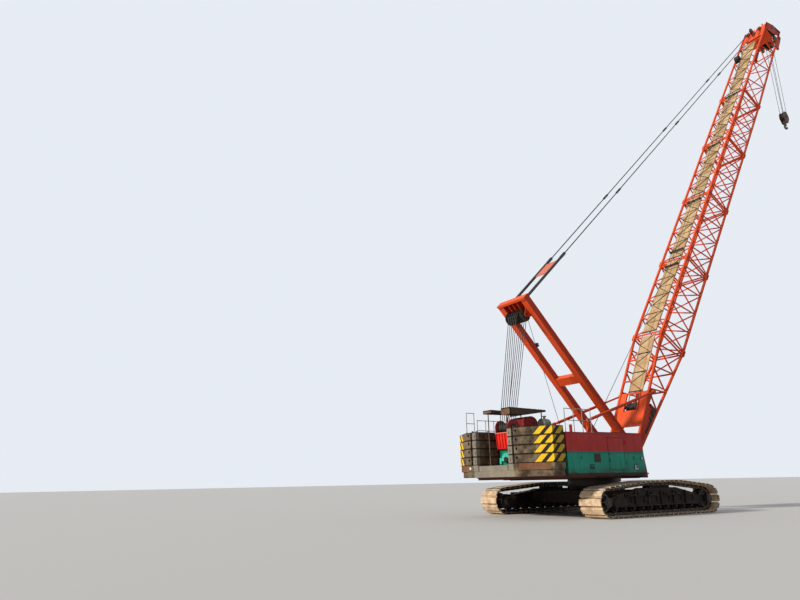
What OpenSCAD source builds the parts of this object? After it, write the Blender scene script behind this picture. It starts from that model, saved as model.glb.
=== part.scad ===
/* [Tracks] */
// Distance between the centre lines of the two tracks
track_gauge = 6600; // [6200:50:7200]
// Width of a track shoe
shoe_w = 1200; // [1000:50:1400]
// Distance between the axles of the end wheels
wheel_base = 6900; // [6300:50:7600]
// Radius of the pin line round an end wheel
pin_r = 510; // [480:10:540]
// Number of shoes in one track
shoe_count = 52; // [48:1:56]
// Height of a shoe's face over the pin line
shoe_rise = 130; // [110:5:150]
// Depth of the gap between two shoes
shoe_notch = 70; // [40:5:90]
// Depth of the chain under the pin line
chain_drop = 90; // [70:5:100]
// Width of the chain that carries the shoes
chain_w = 460; // [380:10:520]
// Height of the pin line where the top run is highest
crest_z = 1370; // [1250:10:1420]
// Where the crest begins, behind the slewing axis
crest_rear = -700; // [-1200:50:-400]
// Where the crest ends, ahead of the slewing axis
crest_front = 1300; // [800:50:1600]
// Number of bottom rollers in one track
roller_count = 11; // [9:1:12]
// Radius of a bottom roller
roller_r = 140; // [120:5:150]
// Width of the track frame's box beam
frame_w = 640; // [560:10:700]

/* [Undercarriage] */
// Width of the square centre body
carbody_w = 3000; // [2600:50:3200]
// Height of the centre body's underside
carbody_z = 480; // [420:10:520]
// Width of an axle beam along the crane
axle_beam_w = 620; // [500:10:700]
// Outer radius of the toothed slewing ring
ring_r = 1330; // [1200:10:1400]
// Height of the slewing ring's top
ring_top_z = 1480; // [1460:10:1500]
// Number of teeth on the slewing ring
ring_teeth = 60; // [48:1:72]

/* [Revolving frame] */
// Height of the frame's top plate
deck_z = 1850; // [1800:10:1900]
// Half of the distance between the two main web plates, to their inner faces
web_y = 560; // [540:5:570]
// Thickness of a main web plate
web_t = 60; // [40:5:65]
// Rear end of the revolving frame
deck_rear = -4900; // [-4950:10:-4800]
// Front end of the revolving frame
deck_front = 2700; // [2650:10:2900]
// Distance of the boom's foot pin ahead of the slewing axis
pivot_x = 2250; // [2200:10:2300]
// Height of the boom's foot pin
pivot_z = 2800; // [2750:10:2850]
// Radius of the boom's foot pin
pivot_r = 110; // [90:5:120]

/* [Machinery housings] */
// Half of the width over the housings
house_y = 3050; // [2900:10:3150]
// Half of the width of the open bay between the housings
bay_y = 1250; // [1230:10:1300]
// Rear end of a housing
house_rear = -4850; // [-4880:10:-4800]
// Front end of a housing
house_front = 50; // [0:10:100]
// Height of a housing's roof
house_top = 3560; // [3500:10:3600]
// Height of the joint between the housing's green and red panels
band_z = 2760; // [2650:10:2850]
// Thickness of a housing's wall
house_wall = 40; // [30:5:50]
// Length of a service door
service_door_w = 1180; // [1000:10:1180]

/* [Counterweight] */
// Rear face of the counterweight, behind the slewing axis
cw_rear = -6400; // [-6500:10:-6300]
// Front face of the counterweight stacks
cw_front = -5100; // [-5150:10:-5000]
// Half of the gap between the two stacks
cw_gap = 1100; // [1080:10:1120]
// Where a stack's rear face ends and its chamfer begins
cw_corner = 1820; // [1750:10:1900]
// Half of the width over the stacks
cw_y = 3200; // [3150:10:3300]
// Length of the chamfer along the crane
cw_chamfer = 650; // [500:10:700]
// Height of the counterweight base's underside
cw_base_z = 1760; // [1720:10:1780]
// Thickness of one layer of the base
cw_layer_h = 270; // [250:5:280]
// Thickness of one counterweight plate
cw_plate_h = 378; // [350:2:390]
// Number of plates in one stack
cw_plates = 4; // [2:1:4]
// Gap between two layers
cw_seam = 0.5; // [0.2:0.1:0.8]

/* [Boom] */
// Angle of the boom over the level
boom_angle = 55.7; // [50:0.1:60]
// Length from the foot pin to the end of the head's plates
boom_len = 43000; // [42000:100:43200]
// Distance between the chords' centre lines, across the boom
boom_w = 1840; // [1820:10:1860]
// Distance between the chords' centre lines, front to rear
boom_d = 1960; // [1900:10:2000]
// Length of the tapered foot section
foot_len = 7400; // [7200:50:7600]
// Length of a straight section
section_len = 6200; // [6000:50:6300]
// Radius of a chord tube
chord_r = 78; // [70:1:85]
// Radius of a lacing tube
lacing_r = 40; // [32:1:45]
// Number of lacing bays in a straight section
section_bays = 4; // [3:1:5]
// Radius of a head sheave
head_sheave_r = 430; // [380:10:440]

/* [Mast] */
// Angle of the mast over the level, leaning back
mast_angle = 47.3; // [45:0.1:50]
// Length from the foot pin to the top of the mast's head
mast_len = 10050; // [9900:50:10200]
// Distance from the centre plane to a leg's centre line
mast_leg_y = 830; // [820:5:840]
// Width of a leg
mast_leg_w = 340; // [300:10:350]
// Depth of a leg
mast_leg_d = 330; // [300:10:360]
// Radius of a mast head sheave
mast_sheave_r = 330; // [300:10:350]

/* [Stays and stops] */
// Half of the distance between the two pendants
pendant_y = 480; // [440:10:500]
// Radius of a pendant rope
pendant_r = 30; // [24:1:36]
// Length of the link plates at the lower end of a pendant
link_len = 3900; // [3600:50:4200]
// Distance from the centre plane to a boom stop
stop_y = 1120; // [1115:1:1130]
// Radius of a boom stop's barrel
stop_r = 75; // [70:1:80]
// Height of the hook block's sheave pin
hook_z = 30300; // [29500:50:31000]

/* [Cab] */
// Rear wall of the cab
cab_rear = 450; // [400:10:500]
// Length of the cab
cab_len = 2050; // [1900:10:2100]
// Width of the cab
cab_w = 1150; // [1050:10:1200]
// Height of the cab
cab_h = 1850; // [1750:10:1900]
// Thickness of the cab's walls
cab_wall = 50; // [40:5:60]

/* [Hidden] */

$fn = 32;

// Colours of the paint and of the bare surfaces
boom_red = [0.80, 0.20, 0.09];
band_red = [0.55, 0.09, 0.07];
bright_red = [0.85, 0.08, 0.05];
panel_green = [0.02, 0.36, 0.27];
block_green = [0.02, 0.38, 0.25];
weathered = [0.42, 0.36, 0.28];
rust = [0.45, 0.22, 0.12];
dusty_black = [0.13, 0.11, 0.10];
dust_tan = [0.62, 0.50, 0.36];
steel_dark = [0.16, 0.14, 0.13];
walk_tan = [0.70, 0.52, 0.32];
rope_grey = [0.25, 0.26, 0.30];
rail_grey = [0.60, 0.56, 0.52];
glass_tint = [0.35, 0.50, 0.52, 0.4];
seat_black = [0.09, 0.09, 0.10];

// Clearance at a pin, a seat or a sliding fit
fit = 0.3;
// Clearance that one moving piece keeps from another
gap = 8;
// Overlap that joins two shapes of one solid
lap = 2;

// A round bar from p to q
module bar(p, q, r, sides = 8) {
  v = q - p;
  len = norm(v);
  translate(p) rotate([0, acos(v.z / len), atan2(v.y, v.x)])
    cylinder(r = r, h = len, $fn = sides);
}

// A box from its low corner to its high corner
module block(lo, hi) {
  translate(lo) cube(hi - lo);
}

// A round bar along Y, centred at x, z, from y0 to y1
module across(x, z, r, y0, y1, sides = 32) {
  translate([x, y0, z]) rotate([-90, 0, 0]) cylinder(r = r, h = y1 - y0, $fn = sides);
}

// A side-view outline in x, z, drawn out along Y from y0 to y1
module profile(points, y0, y1) {
  translate([0, y1, 0]) rotate([90, 0, 0])
    linear_extrude(height = y1 - y0) polygon(points);
}

// The same shape on the left and the right
module both() {
  children();
  mirror([0, 1, 0]) children();
}

// Track loop

track_y = track_gauge / 2;
wheel_x = wheel_base / 2;
axle_z = pin_r + shoe_rise;
pin_low = shoe_rise;
crest_f = [crest_front, crest_z];
crest_b = [crest_rear, crest_z];
front_c = [wheel_x, axle_z];
rear_c = [-wheel_x, axle_z];

function polar(a) = [cos(a), sin(a)];
function tangent_angle(from, c, side) =
  let(v = from - c) atan2(v.y, v.x) + side * acos(pin_r / norm(v));

front_a = tangent_angle(crest_f, front_c, -1);
rear_a = tangent_angle(crest_b, rear_c, 1);
front_t = front_c + pin_r * polar(front_a);
rear_t = rear_c + pin_r * polar(rear_a);

// Lengths of the loop's stretches, from the rear bottom tangent, forwards
bottom_len = wheel_base;
front_arc = pin_r * (front_a + 90) * PI / 180;
front_slope = norm(crest_f - front_t);
crest_len = crest_front - crest_rear;
rear_slope = norm(rear_t - crest_b);
rear_arc = pin_r * (270 - rear_a) * PI / 180;
s1 = bottom_len;
s2 = s1 + front_arc;
s3 = s2 + front_slope;
s4 = s3 + crest_len;
s5 = s4 + rear_slope;
loop_len = s5 + rear_arc;
shoe_pitch = loop_len / shoe_count;

// A point on the pin line at a distance s along it
function loop_pin(s) =
  s < s1 ? [-wheel_x + s, pin_low] :
  s < s2 ? front_c + pin_r * polar(-90 + (s - s1) / pin_r * 180 / PI) :
  s < s3 ? front_t + (crest_f - front_t) * (s - s2) / front_slope :
  s < s4 ? crest_f + (crest_b - crest_f) * (s - s3) / crest_len :
  s < s5 ? crest_b + (rear_t - crest_b) * (s - s4) / rear_slope :
  rear_c + pin_r * polar(rear_a + (s - s5) / pin_r * 180 / PI);

function unit(v) = v / norm(v);
function outward(d) = [d.y, -d.x];
// The loop's direction and outward normal at the pin number i
function pin_at(i) = loop_pin((i % shoe_count) * shoe_pitch);
function pin_normal(i) =
  outward(unit(unit(pin_at(i + 1) - pin_at(i)) + unit(pin_at(i) - pin_at(i + shoe_count - 1))));

shoe_gap = 22;
function shoe_points(i) =
  let(p = pin_at(i), q = pin_at(i + 1), d = unit(q - p), n = outward(d))
  [p + d * shoe_gap + n * (shoe_rise - shoe_notch),
   p + d * shoe_gap + n * shoe_rise,
   q - d * shoe_gap + n * shoe_rise,
   q - d * shoe_gap + n * (shoe_rise - shoe_notch)];
function ring_points(offset) =
  [for (i = [0:shoe_count - 1]) pin_at(i) + pin_normal(i) * offset];

shoe_seat = shoe_rise - shoe_notch - 30;

module track(y) {
  color(dust_tan) union() {
    translate([0, y + shoe_w / 2, 0]) rotate([90, 0, 0])
      linear_extrude(height = shoe_w) difference() {
        polygon([for (i = [0:shoe_count - 1]) each shoe_points(i)]);
        polygon(ring_points(shoe_seat));
      }
    translate([0, y + chain_w / 2, 0]) rotate([90, 0, 0])
      linear_extrude(height = chain_w) difference() {
        polygon(ring_points(shoe_seat + lap));
        polygon(ring_points(-chain_drop));
      }
  }
}

// Track frames with their bottom rollers

chain_top = pin_low + chain_drop;
roller_z = chain_top + fit + roller_r;
inner_clear = 60;
frame_low = roller_z + 60;
yoke_x = wheel_x - 560;
yoke_w = 70;
wheel_half = 200;
wheel_axle_r = 90;
crest_under = crest_z - chain_drop;
tread_x = [-1900, -650, 650, 1900];
tread_z = 900;
tread_len = 520;
tread_t = 40;

module track_frame(y) {
  color(dusty_black) difference() {
    union() {
      profile([[-yoke_x, frame_low], [yoke_x, frame_low], [yoke_x + 60, 620],
               [yoke_x - 250, 900], [crest_front + 250, 1120], [crest_front, 1180],
               [crest_rear, 1180], [crest_rear - 250, 1120], [-yoke_x + 250, 900],
               [-yoke_x - 60, 620]],
              y - frame_w / 2, y + frame_w / 2);
      // slide under the top run's crest
      profile([[crest_rear + shoe_pitch - 40, 1100], [crest_front - shoe_pitch + 40, 1100],
               [crest_front - shoe_pitch, crest_under - fit], [crest_rear + shoe_pitch, crest_under - fit]],
              y - chain_w / 2 + 40, y + chain_w / 2 - 40);
      // yokes that hold the end wheels' axles
      for (end = [-1, 1], side = [-1, 1])
        translate([0, y + side * (wheel_half + gap + yoke_w / 2), 0])
          profile([[end * (yoke_x - 300), 470], [end * (wheel_x + 120), 500],
                   [end * (wheel_x + 170), axle_z], [end * (wheel_x + 120), 780],
                   [end * (yoke_x - 300), 840]], -yoke_w / 2, yoke_w / 2);
      // bottom rollers on their axles
      for (i = [0:roller_count - 1]) {
        x = (i / (roller_count - 1) - 0.5) * 2 * (yoke_x - 60);
        across(x, roller_z, roller_r, y - chain_w / 2 + 20, y + chain_w / 2 - 20, 24);
        across(x, roller_z, 70, y - frame_w / 2 - 30, y + frame_w / 2 + 30, 12);
      }
      // treads along the outer side
      tread_out = (shoe_w - frame_w) / 2 - 60;
      for (x = tread_x)
        translate([x, y + (y < 0 ? -1 : 1) * (frame_w + tread_out) / 2, tread_z])
          cube([tread_len, tread_out + 2 * lap, tread_t], center = true);
    }
    for (end = [-1, 1])
      across(end * wheel_x, axle_z, wheel_axle_r + fit, y - frame_w, y + frame_w, 48);
    // pockets between the frame's ribs
    for (x = [-2150:860:2150], side = [-1, 1])
      translate([x, y + side * frame_w / 2, 700]) cube([640, 80, 220], center = true);
  }
}

module end_wheel(x, y) {
  across(x, axle_z, wheel_axle_r, y - wheel_half - yoke_w - gap - 60,
         y + wheel_half + yoke_w + gap + 60, 48);
  difference() {
    across(x, axle_z, pin_r - chain_drop - 32, y - wheel_half, y + wheel_half, 48);
    for (side = [-1, 1])
      translate([x, y + side * wheel_half, axle_z]) rotate([90, 0, 0])
        difference() {
          cylinder(r = 300, h = 140, center = true, $fn = 48);
          cylinder(r = 150, h = 160, center = true, $fn = 48);
        }
  }
}

module end_wheels() {
  color(steel_dark) for (y = [-track_y, track_y], x = [-wheel_x, wheel_x])
    union() {
      end_wheel(x, y);
      // hub cap on the outer side
      cap = wheel_half + yoke_w + gap + 40;
      across(x, axle_z, 200, y < 0 ? y - cap - 160 : y + cap, y < 0 ? y - cap : y + cap + 160, 32);
    }
}

module travel_drives() {
  inner = track_y - wheel_half - gap - yoke_w;
  color(steel_dark) both() union() {
    across(-wheel_x, axle_z, 330, inner - 360 - 60 - fit, inner - 60 - fit, 40);
    across(-wheel_x, axle_z, 210, inner - 700, inner - 400, 32);
    across(-wheel_x + 180, axle_z + 140, 90, inner - 900, inner - 300, 24);
  }
}

// Centre body and axle beams

body_half = carbody_w / 2;
beam_top = 1080;
beam_x = body_half - axle_beam_w / 2;
beam_in = body_half - axle_beam_w;

module carbody() {
  cut = 500;
  color(dusty_black) union() {
    translate([0, 0, carbody_z]) linear_extrude(height = beam_top + 80 - carbody_z)
      polygon([[-beam_in, -body_half + cut], [-beam_in + cut, -body_half],
               [beam_in - cut, -body_half], [beam_in, -body_half + cut],
               [beam_in, body_half - cut], [beam_in - cut, body_half],
               [-beam_in + cut, body_half], [-beam_in, body_half - cut]]);
    translate([0, 0, beam_top + 60]) cylinder(r = ring_r - 120, h = 1300 - beam_top - 60, $fn = 64);
    for (a = [0:45:315]) rotate([0, 0, a])
      block([ring_r - 420, -30, beam_top + 60], [ring_r - 30, 30, 1280]);
  }
}

module axle_beams() {
  reach = track_y - frame_w / 2;
  color(dusty_black) for (end = [-1, 1])
    translate([end * beam_x, 0, 0]) union() {
      rotate([90, 0, 90]) translate([0, 0, -axle_beam_w / 2])
        linear_extrude(height = axle_beam_w)
          polygon([[-reach, 600], [-reach + 500, 560], [-1300, 520], [1300, 520],
                   [reach - 500, 560], [reach, 600], [reach, beam_top - 60],
                   [1300, beam_top], [-1300, beam_top], [-reach, beam_top - 60]]);
      for (side = [-1, 1])
        translate([0, side * (reach - 60), 820]) cube([axle_beam_w + 120, 80, 440], center = true);
    }
}

module slew_ring() {
  tooth = 360 / ring_teeth;
  root_r = ring_r - 45;
  color(steel_dark) translate([0, 0, 1300]) difference() {
    union() {
      linear_extrude(height = 100) polygon([for (i = [0:ring_teeth - 1])
        each [root_r * polar(i * tooth), root_r * polar((i + 0.45) * tooth),
              ring_r * polar((i + 0.55) * tooth), ring_r * polar((i + 0.9) * tooth)]]);
      translate([0, 0, 80]) cylinder(r = ring_r - 90, h = ring_top_z - 1380, $fn = 96);
    }
    translate([0, 0, -lap]) cylinder(r = ring_r - 330, h = 400, $fn = 96);
  }
}

// Revolving frame

bracket_r = 300;
outer_plate = [1040, 1100];
drum_x = [-600, -2250];
drum_z = 2560;
drum_flange_r = 520;
drum_shaft_r = 90;

module foot_bracket(y0, y1) {
  difference() {
    profile([[pivot_x - 900, deck_z - 20], [deck_front, deck_z - 20],
             [pivot_x + 290, pivot_z + 60], [pivot_x + 160, pivot_z + 260],
             [pivot_x - 160, pivot_z + 260], [pivot_x - 290, pivot_z + 60]], y0, y1);
    across(pivot_x, pivot_z, pivot_r + fit, y0 - 10, y1 + 10, 48);
  }
}

bed_y = 1180;
floor_t = 60;
web_low = 1600;
cab_floor_front = 2560;
outrigger_x = [deck_rear + 20, -3300, -1650, house_front - 180];

module revolving_frame() {
  color(band_red) union() {
    // floor: the bed, the housings' floors and the cab's platform on the left
    translate([0, 0, deck_z - floor_t]) linear_extrude(height = floor_t)
      polygon([[deck_rear, -house_y], [house_front, -house_y], [house_front, -bed_y],
               [deck_front, -bed_y], [deck_front, bed_y], [cab_floor_front, bed_y],
               [cab_floor_front, house_y], [deck_rear, house_y]]);
    for (side = [-1, 1]) {
      y0 = side * (web_y + web_t / 2);
      // main web plates with the foot brackets
      block([deck_rear + 30, y0 - web_t / 2, web_low], [deck_front - 30, y0 + web_t / 2, deck_z - floor_t + lap]);
      block([deck_rear + 60, side * (bed_y - 60) - 25, web_low + 20],
            [deck_front - 60, side * (bed_y - 60) + 25, deck_z - floor_t + lap]);
      foot_bracket(y0 - web_t / 2, y0 + web_t / 2);
      foot_bracket(side * (outer_plate[0] + 30) - 30, side * (outer_plate[0] + 30) + 30);
      // lip under the housing's side panel
      block([deck_rear + 10, side * (house_y - 50) - 30, deck_z - 130],
            [house_front - 10, side * (house_y - 50) + 30, deck_z - floor_t + lap]);
      // bearing brackets of the hoist drums
      for (x = drum_x) difference() {
        profile([[x - 420, deck_z - lap], [x + 420, deck_z - lap], [x + 160, drum_z + 150],
                 [x - 160, drum_z + 150]], y0 - web_t / 2 + 5, y0 + web_t / 2 - 5);
        across(x, drum_z, drum_shaft_r + fit, y0 - web_t, y0 + web_t, 40);
      }
      // foot pins
      across(pivot_x, pivot_z, pivot_r, side < 0 ? -outer_plate[1] - 40 : web_y + 10,
             side < 0 ? -web_y - 10 : outer_plate[1] + 40, 48);
    }
    // outriggers under the floor
    for (x = outrigger_x)
      block([x, -house_y + 90, web_low + 40], [x + 150, house_y - 90, deck_z - floor_t + lap]);
    for (x = [760, cab_floor_front - 200])
      block([x, -bed_y + 40, web_low + 60], [x + 150, house_y - 160, deck_z - floor_t + lap]);
    // seat on the slewing ring
    translate([0, 0, ring_top_z + fit]) cylinder(r = ring_r - 60, h = web_low + 10 - ring_top_z, $fn = 96);
  }
}

// Machinery housings with their service doors

door_x = [-4130, -2330, -1140];
door_gap = 6;
door_low = deck_z + 90;
door_high = house_top - 160;
door_rear = door_x[1];
door_in = 30;

hinge_r = 14;
hinge_pin_r = 6;
hinge_len = 120;
hinge_out = 20;
door_hinge_x = door_rear + service_door_w - door_gap;
door_hinge_z = [door_low + 250, door_high - 300];

// The fixed half of a hinge: a pin with a knuckle at each end and a leaf on the wall
module hinge_post(x, y, z, leaf, wall_y) {
  translate([x, y, z - 40]) cylinder(r = hinge_pin_r, h = hinge_len + 80, $fn = 24);
  for (low = [z - 40, z + hinge_len + fit]) {
    translate([x, y, low]) cylinder(r = hinge_r, h = 40 - fit, $fn = 24);
    block([min(x, x + leaf), wall_y, low], [max(x, x + leaf), y + 4, low + 40 - fit]);
  }
}

// The knuckle on the door
module hinge_knuckle(x, y, z) {
  translate([x, y, z]) difference() {
    cylinder(r = hinge_r, h = hinge_len, $fn = 24);
    translate([0, 0, -1]) cylinder(r = hinge_pin_r + fit, h = hinge_len + 2, $fn = 24);
  }
}

module housing_shell() {
  difference() {
    block([house_rear, bay_y, deck_z + fit], [house_front, house_y, house_top]);
    block([house_rear + house_wall, bay_y + house_wall, deck_z - 10],
          [house_front - house_wall, house_y - house_wall, house_top - house_wall]);
    // joint between the green and the red panels
    block([house_rear - 10, house_y - 8, band_z - 8], [house_front + 10, house_y + 10, band_z]);
    // upright panel joints
    for (x = [door_x[0], door_x[2] + 60, -530])
      block([x - 6, house_y - 8, deck_z - 10], [x + 6, house_y + 10, house_top + 10]);
    // service doorway
    block([door_rear, house_y - house_wall - 20, door_low],
          [door_rear + service_door_w, house_y + 20, door_high]);
    // louvres low in the panels
    for (x = [-3560, -720], k = [0:3])
      block([x, house_y - house_wall - 10, 2020 + k * 55], [x + 320, house_y + 10, 2045 + k * 55]);
    // radiator grille in the rear wall
    for (k = [0:7])
      block([house_rear - 10, bay_y + 300, 2150 + k * 110], [house_rear + 60, house_y - 300, 2210 + k * 110]);
    // opening for the exhaust
    translate([-3500, 2100, house_top]) cylinder(r = 58, h = 200, center = true);
  }
  for (z = door_hinge_z)
    hinge_post(door_hinge_x, house_y + hinge_out, z, 60, house_y - lap);
  // blank plate on the green panel
  block([-3230, house_y - lap, 2300], [-2830, house_y + 12, 2660]);
  // exhaust stack
  translate([-3500, 2100, house_top - lap]) difference() {
    cylinder(r = 68, h = 420);
    translate([0, 0, -1]) cylinder(r = 58, h = 440);
  }
}

module housing(side) {
  mirror([0, side < 0 ? 1 : 0, 0]) {
    color(panel_green) housing_shell();
  }
}

module engine_block() {
  color(steel_dark)
    block([-4400, -house_y + 350, deck_z + fit], [-2100, -bay_y - 300, 2950]);
}

module service_door(side) {
  color(panel_green) mirror([0, side < 0 ? 1 : 0, 0]) union() {
    difference() {
      block([door_rear + door_gap, house_y - door_in, door_low + door_gap],
            [door_rear + service_door_w - door_gap, house_y + 5, door_high - door_gap]);
      block([door_rear, house_y - 5, band_z - 8], [door_rear + service_door_w, house_y + 10, band_z]);
    }
    // pull handle and hinge knuckles
    block([door_rear + 90, house_y + 4, 2300], [door_rear + 130, house_y + 35, 2460]);
    for (z = door_hinge_z) {
      hinge_knuckle(door_hinge_x, house_y + hinge_out, z);
      block([door_hinge_x - 60, house_y + 4, z],
            [door_hinge_x - hinge_r + 4, house_y + hinge_out - 4, z + hinge_len]);
    }
  }
}

// Counterweight

cw_side_x = cw_rear + cw_chamfer;
cw_stack_z = cw_base_z + 2 * cw_layer_h + 2 * cw_seam;

function cw_outline(inset) = [
  [cw_rear + inset, cw_gap], [cw_rear + inset, cw_corner],
  [cw_side_x + inset, cw_y - inset], [cw_front, cw_y - inset], [cw_front, cw_gap]];

module cw_layer(z, h, inset) {
  translate([0, 0, z]) linear_extrude(height = h) polygon(cw_outline(inset));
}

module counterweight_stack() {
  for (k = [0:cw_plates - 1]) {
    z = cw_stack_z + k * (cw_plate_h + cw_seam);
    difference() {
      union() {
        cw_layer(z + 26, cw_plate_h - 52, 0);
        cw_layer(z, cw_plate_h, 26);
      }
      // slot for the hanging rod, and the lifting hole beside it
      block([cw_rear - 10, cw_gap + 260, z - 10], [cw_rear + 190, cw_gap + 400, z + cw_plate_h + 10]);
      translate([cw_rear, cw_gap + 550, z + cw_plate_h * 0.62]) rotate([0, 90, 0])
        cylinder(r = 62, h = 160, center = true, $fn = 32);
    }
    // lifting lug on the inner corner
    translate([cw_rear + 26 + fit, cw_gap + 100, z + cw_plate_h / 2]) rotate([0, -90, 0])
      cylinder(r = 55, h = 60, $fn = 24);
  }
}

module counterweight(side) {
  color(weathered) mirror([0, side < 0 ? 1 : 0, 0]) counterweight_stack();
}

module counterweight_base() {
  mid = cw_gap - 120;
  color(weathered) union() {
    // lower layer across the whole tail
    both() translate([0, 0, cw_base_z]) linear_extrude(height = cw_layer_h)
      polygon([[cw_rear + 40, 0], [cw_rear + 40, cw_corner - 20], [cw_side_x + 60, cw_y - 120],
               [cw_front, cw_y - 120], [cw_front, cw_gap], [deck_rear - cw_seam, cw_gap],
               [deck_rear - cw_seam, 0]]);
    // upper layer in three blocks
    both() translate([0, 0, cw_base_z + cw_layer_h + cw_seam - 1]) linear_extrude(height = cw_layer_h + 1)
      polygon([[cw_rear + 20, cw_gap - 60], [cw_rear + 20, cw_corner], [cw_side_x + 20, cw_y - 40],
               [cw_front, cw_y - 40], [cw_front, cw_gap - 60]]);
    block([cw_rear + 30, -mid, cw_base_z + cw_layer_h - 1], [cw_rear + 700, mid, cw_base_z + 2 * cw_layer_h - 40]);
  }
}

// Winch frame and winches between the stacks

lobe_w = 460;
lobe_x = [-5800, -4990];
winch_lip_z = 3740;
winch_low_z = 3000;
base_top = cw_base_z + 2 * cw_layer_h;
luff_x = -5400;
luff_z = 3650;

module winch_frame() {
  lobe_len = lobe_x[1] - lobe_x[0];
  color(bright_red) difference() {
    union() {
      both() {
        // arched cheek plates, seen from the rear as two round tops
        translate([lobe_x[0], lobe_w + 12, 0]) rotate([90, 0, 90]) {
          linear_extrude(height = 60) union() {
            translate([0, winch_lip_z]) circle(r = lobe_w);
            translate([-lobe_w, winch_low_z]) square([2 * lobe_w, winch_lip_z - winch_low_z]);
          }
          translate([0, 0, lobe_len - 60]) linear_extrude(height = 60) union() {
            translate([0, winch_lip_z]) circle(r = lobe_w);
            translate([-lobe_w, winch_low_z]) square([2 * lobe_w, winch_lip_z - winch_low_z]);
          }
        }
        // side plates
        block([lobe_x[0], 2 * lobe_w - 30, base_top + 1], [lobe_x[1], 2 * lobe_w + 30, winch_lip_z + 60]);
        // ribs on the rear cheek
        for (y = [180:185:800])
          block([lobe_x[0] - 60, y - 15, winch_low_z + 60], [lobe_x[0] + lap, y + 15, winch_lip_z - 40]);
      }
      // lip across the rear
      block([lobe_x[0] - 110, -2 * lobe_w - 40, winch_lip_z - 30],
            [lobe_x[0] + lap, 2 * lobe_w + 40, winch_lip_z + 30]);
      // floor plate
      block([lobe_x[0], -2 * lobe_w, winch_low_z], [lobe_x[1], 2 * lobe_w, winch_low_z + 40]);
      // lower front and rear plates down to the base
      for (x = [lobe_x[0], lobe_x[1] - 60])
        block([x, -2 * lobe_w, base_top + 1], [x + 60, 2 * lobe_w, winch_low_z + 10]);
    }
    across(luff_x, luff_z, drum_shaft_r + fit, -2 * lobe_w - 60, 2 * lobe_w + 60, 40);
    // arched opening low in the rear plate
    translate([lobe_x[0] - 10, 0, 2560]) rotate([90, 0, 90]) cylinder(r = 230, h = 80, $fn = 40);
  }
}

module drum(x, z, half, barrel_r, flange_r) {
  across(x, z, barrel_r, -half, half, 48);
  for (side = [-1, 1])
    across(x, z, flange_r, side * half - 25, side * half + 25, 48);
  // rope grooves as rings on the barrel
  for (i = [-6:6])
    across(x, z, barrel_r + 28, i * half / 7 - 24, i * half / 7 + 24, 32);
}

module luffing_drum() {
  color(steel_dark) union() {
    drum(luff_x, luff_z, 760, 230, 330);
    across(luff_x, luff_z, drum_shaft_r, -2 * lobe_w - 25, 2 * lobe_w + 25, 40);
  }
}

module hoist_drums() {
  color(steel_dark) for (x = drum_x) union() {
    drum(x, drum_z, web_y - 60, 340, drum_flange_r);
    across(x, drum_z, drum_shaft_r, -web_y - web_t - 25, web_y + web_t + 25, 40);
  }
}

cover_x = -4350;
cover_z = 3950;
cover_r = 560;
cover_y = 520;

module drum_cover() {
  color(band_red) union() {
    difference() {
      across(cover_x, cover_z, cover_r, -cover_y, cover_y, 48);
      across(cover_x, cover_z, cover_r - 40, -cover_y + 40, cover_y - 40, 48);
      block([cover_x - 700, -cover_y - 10, cover_z - 700], [cover_x + 700, cover_y + 10, cover_z - 60]);
    }
    // legs down to the bed
    for (side = [-1, 1], x = [cover_x - cover_r + 20, cover_x + cover_r - 100])
      block([x, side * (cover_y - 40) - 40, deck_z + fit], [x + 80, side * (cover_y - 40) + 40, cover_z - 40]);
  }
}

module air_cleaner() {
  x = -4050;
  y = -1060;
  color(weathered) union() {
    translate([x - 180, y, 4060]) rotate([0, 90, 0]) cylinder(r = 240, h = 360, $fn = 40);
    translate([x - 210, y, 4060]) rotate([0, 90, 0]) cylinder(r = 255, h = 40, $fn = 40);
    block([x - 60, y - 80, deck_z + fit], [x + 60, y + 80, 3900]);
  }
}

canopy_x = [-6000, -3750];
canopy_y = 950;
canopy_z = [4720, 4620];

module canopy() {
  color(rust) union() {
    difference() {
      profile([[canopy_x[0], canopy_z[0]], [canopy_x[1], canopy_z[1]],
               [canopy_x[1], canopy_z[1] + 60], [canopy_x[0], canopy_z[0] + 60]],
              -canopy_y, canopy_y);
      // slot for the luffing ropes
      block([-5560, -700, 4500], [-4900, 700, 4900]);
    }
    for (k = [0, 1], side = [-1, 1]) {
      x = k == 0 ? lobe_x[0] + 200 : cover_x + cover_r + 20;
      block([x, side * 900 - 25, k == 0 ? winch_lip_z + 60 + fit : deck_z + fit],
            [x + 50, side * 900 + 25, canopy_z[k] + 20]);
    }
  }
}

// Handrails and walkways

rail_r = 17;
rail_h = 1000;

module rail_run(x0, x1, y, z, posts) {
  step = (x1 - x0) / (posts - 1);
  for (i = [0:posts - 1])
    bar([x0 + i * step, y, z], [x0 + i * step, y, z + rail_h], rail_r, 8);
  for (h = [rail_h / 2, rail_h])
    bar([x0 - rail_r, y, z + h], [x1 + rail_r, y, z + h], rail_r, 8);
}

walk_z = house_top + fit;
walk_t = 40;

module handrails() {
  color(rail_grey) both()
    rail_run(house_rear + 100, house_rear + 1700, house_y - 60, walk_z, 4);
}

module walkways() {
  color(weathered) both() difference() {
    block([-3050, house_y - 620, walk_z], [house_front - 60, house_y - 20, walk_z + walk_t]);
    for (x = [-2980:300:-300])
      block([x, house_y - 560, walk_z - 10], [x + 220, house_y - 80, walk_z + walk_t + 10]);
  }
}

// Boom stops: supports, barrels and rods

stop_base = [-1250, 4330];
stop_eye_r = 90;
stop_pin_r = 45;
stop_top_t = 3630;
stop_top_z = 360;

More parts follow.
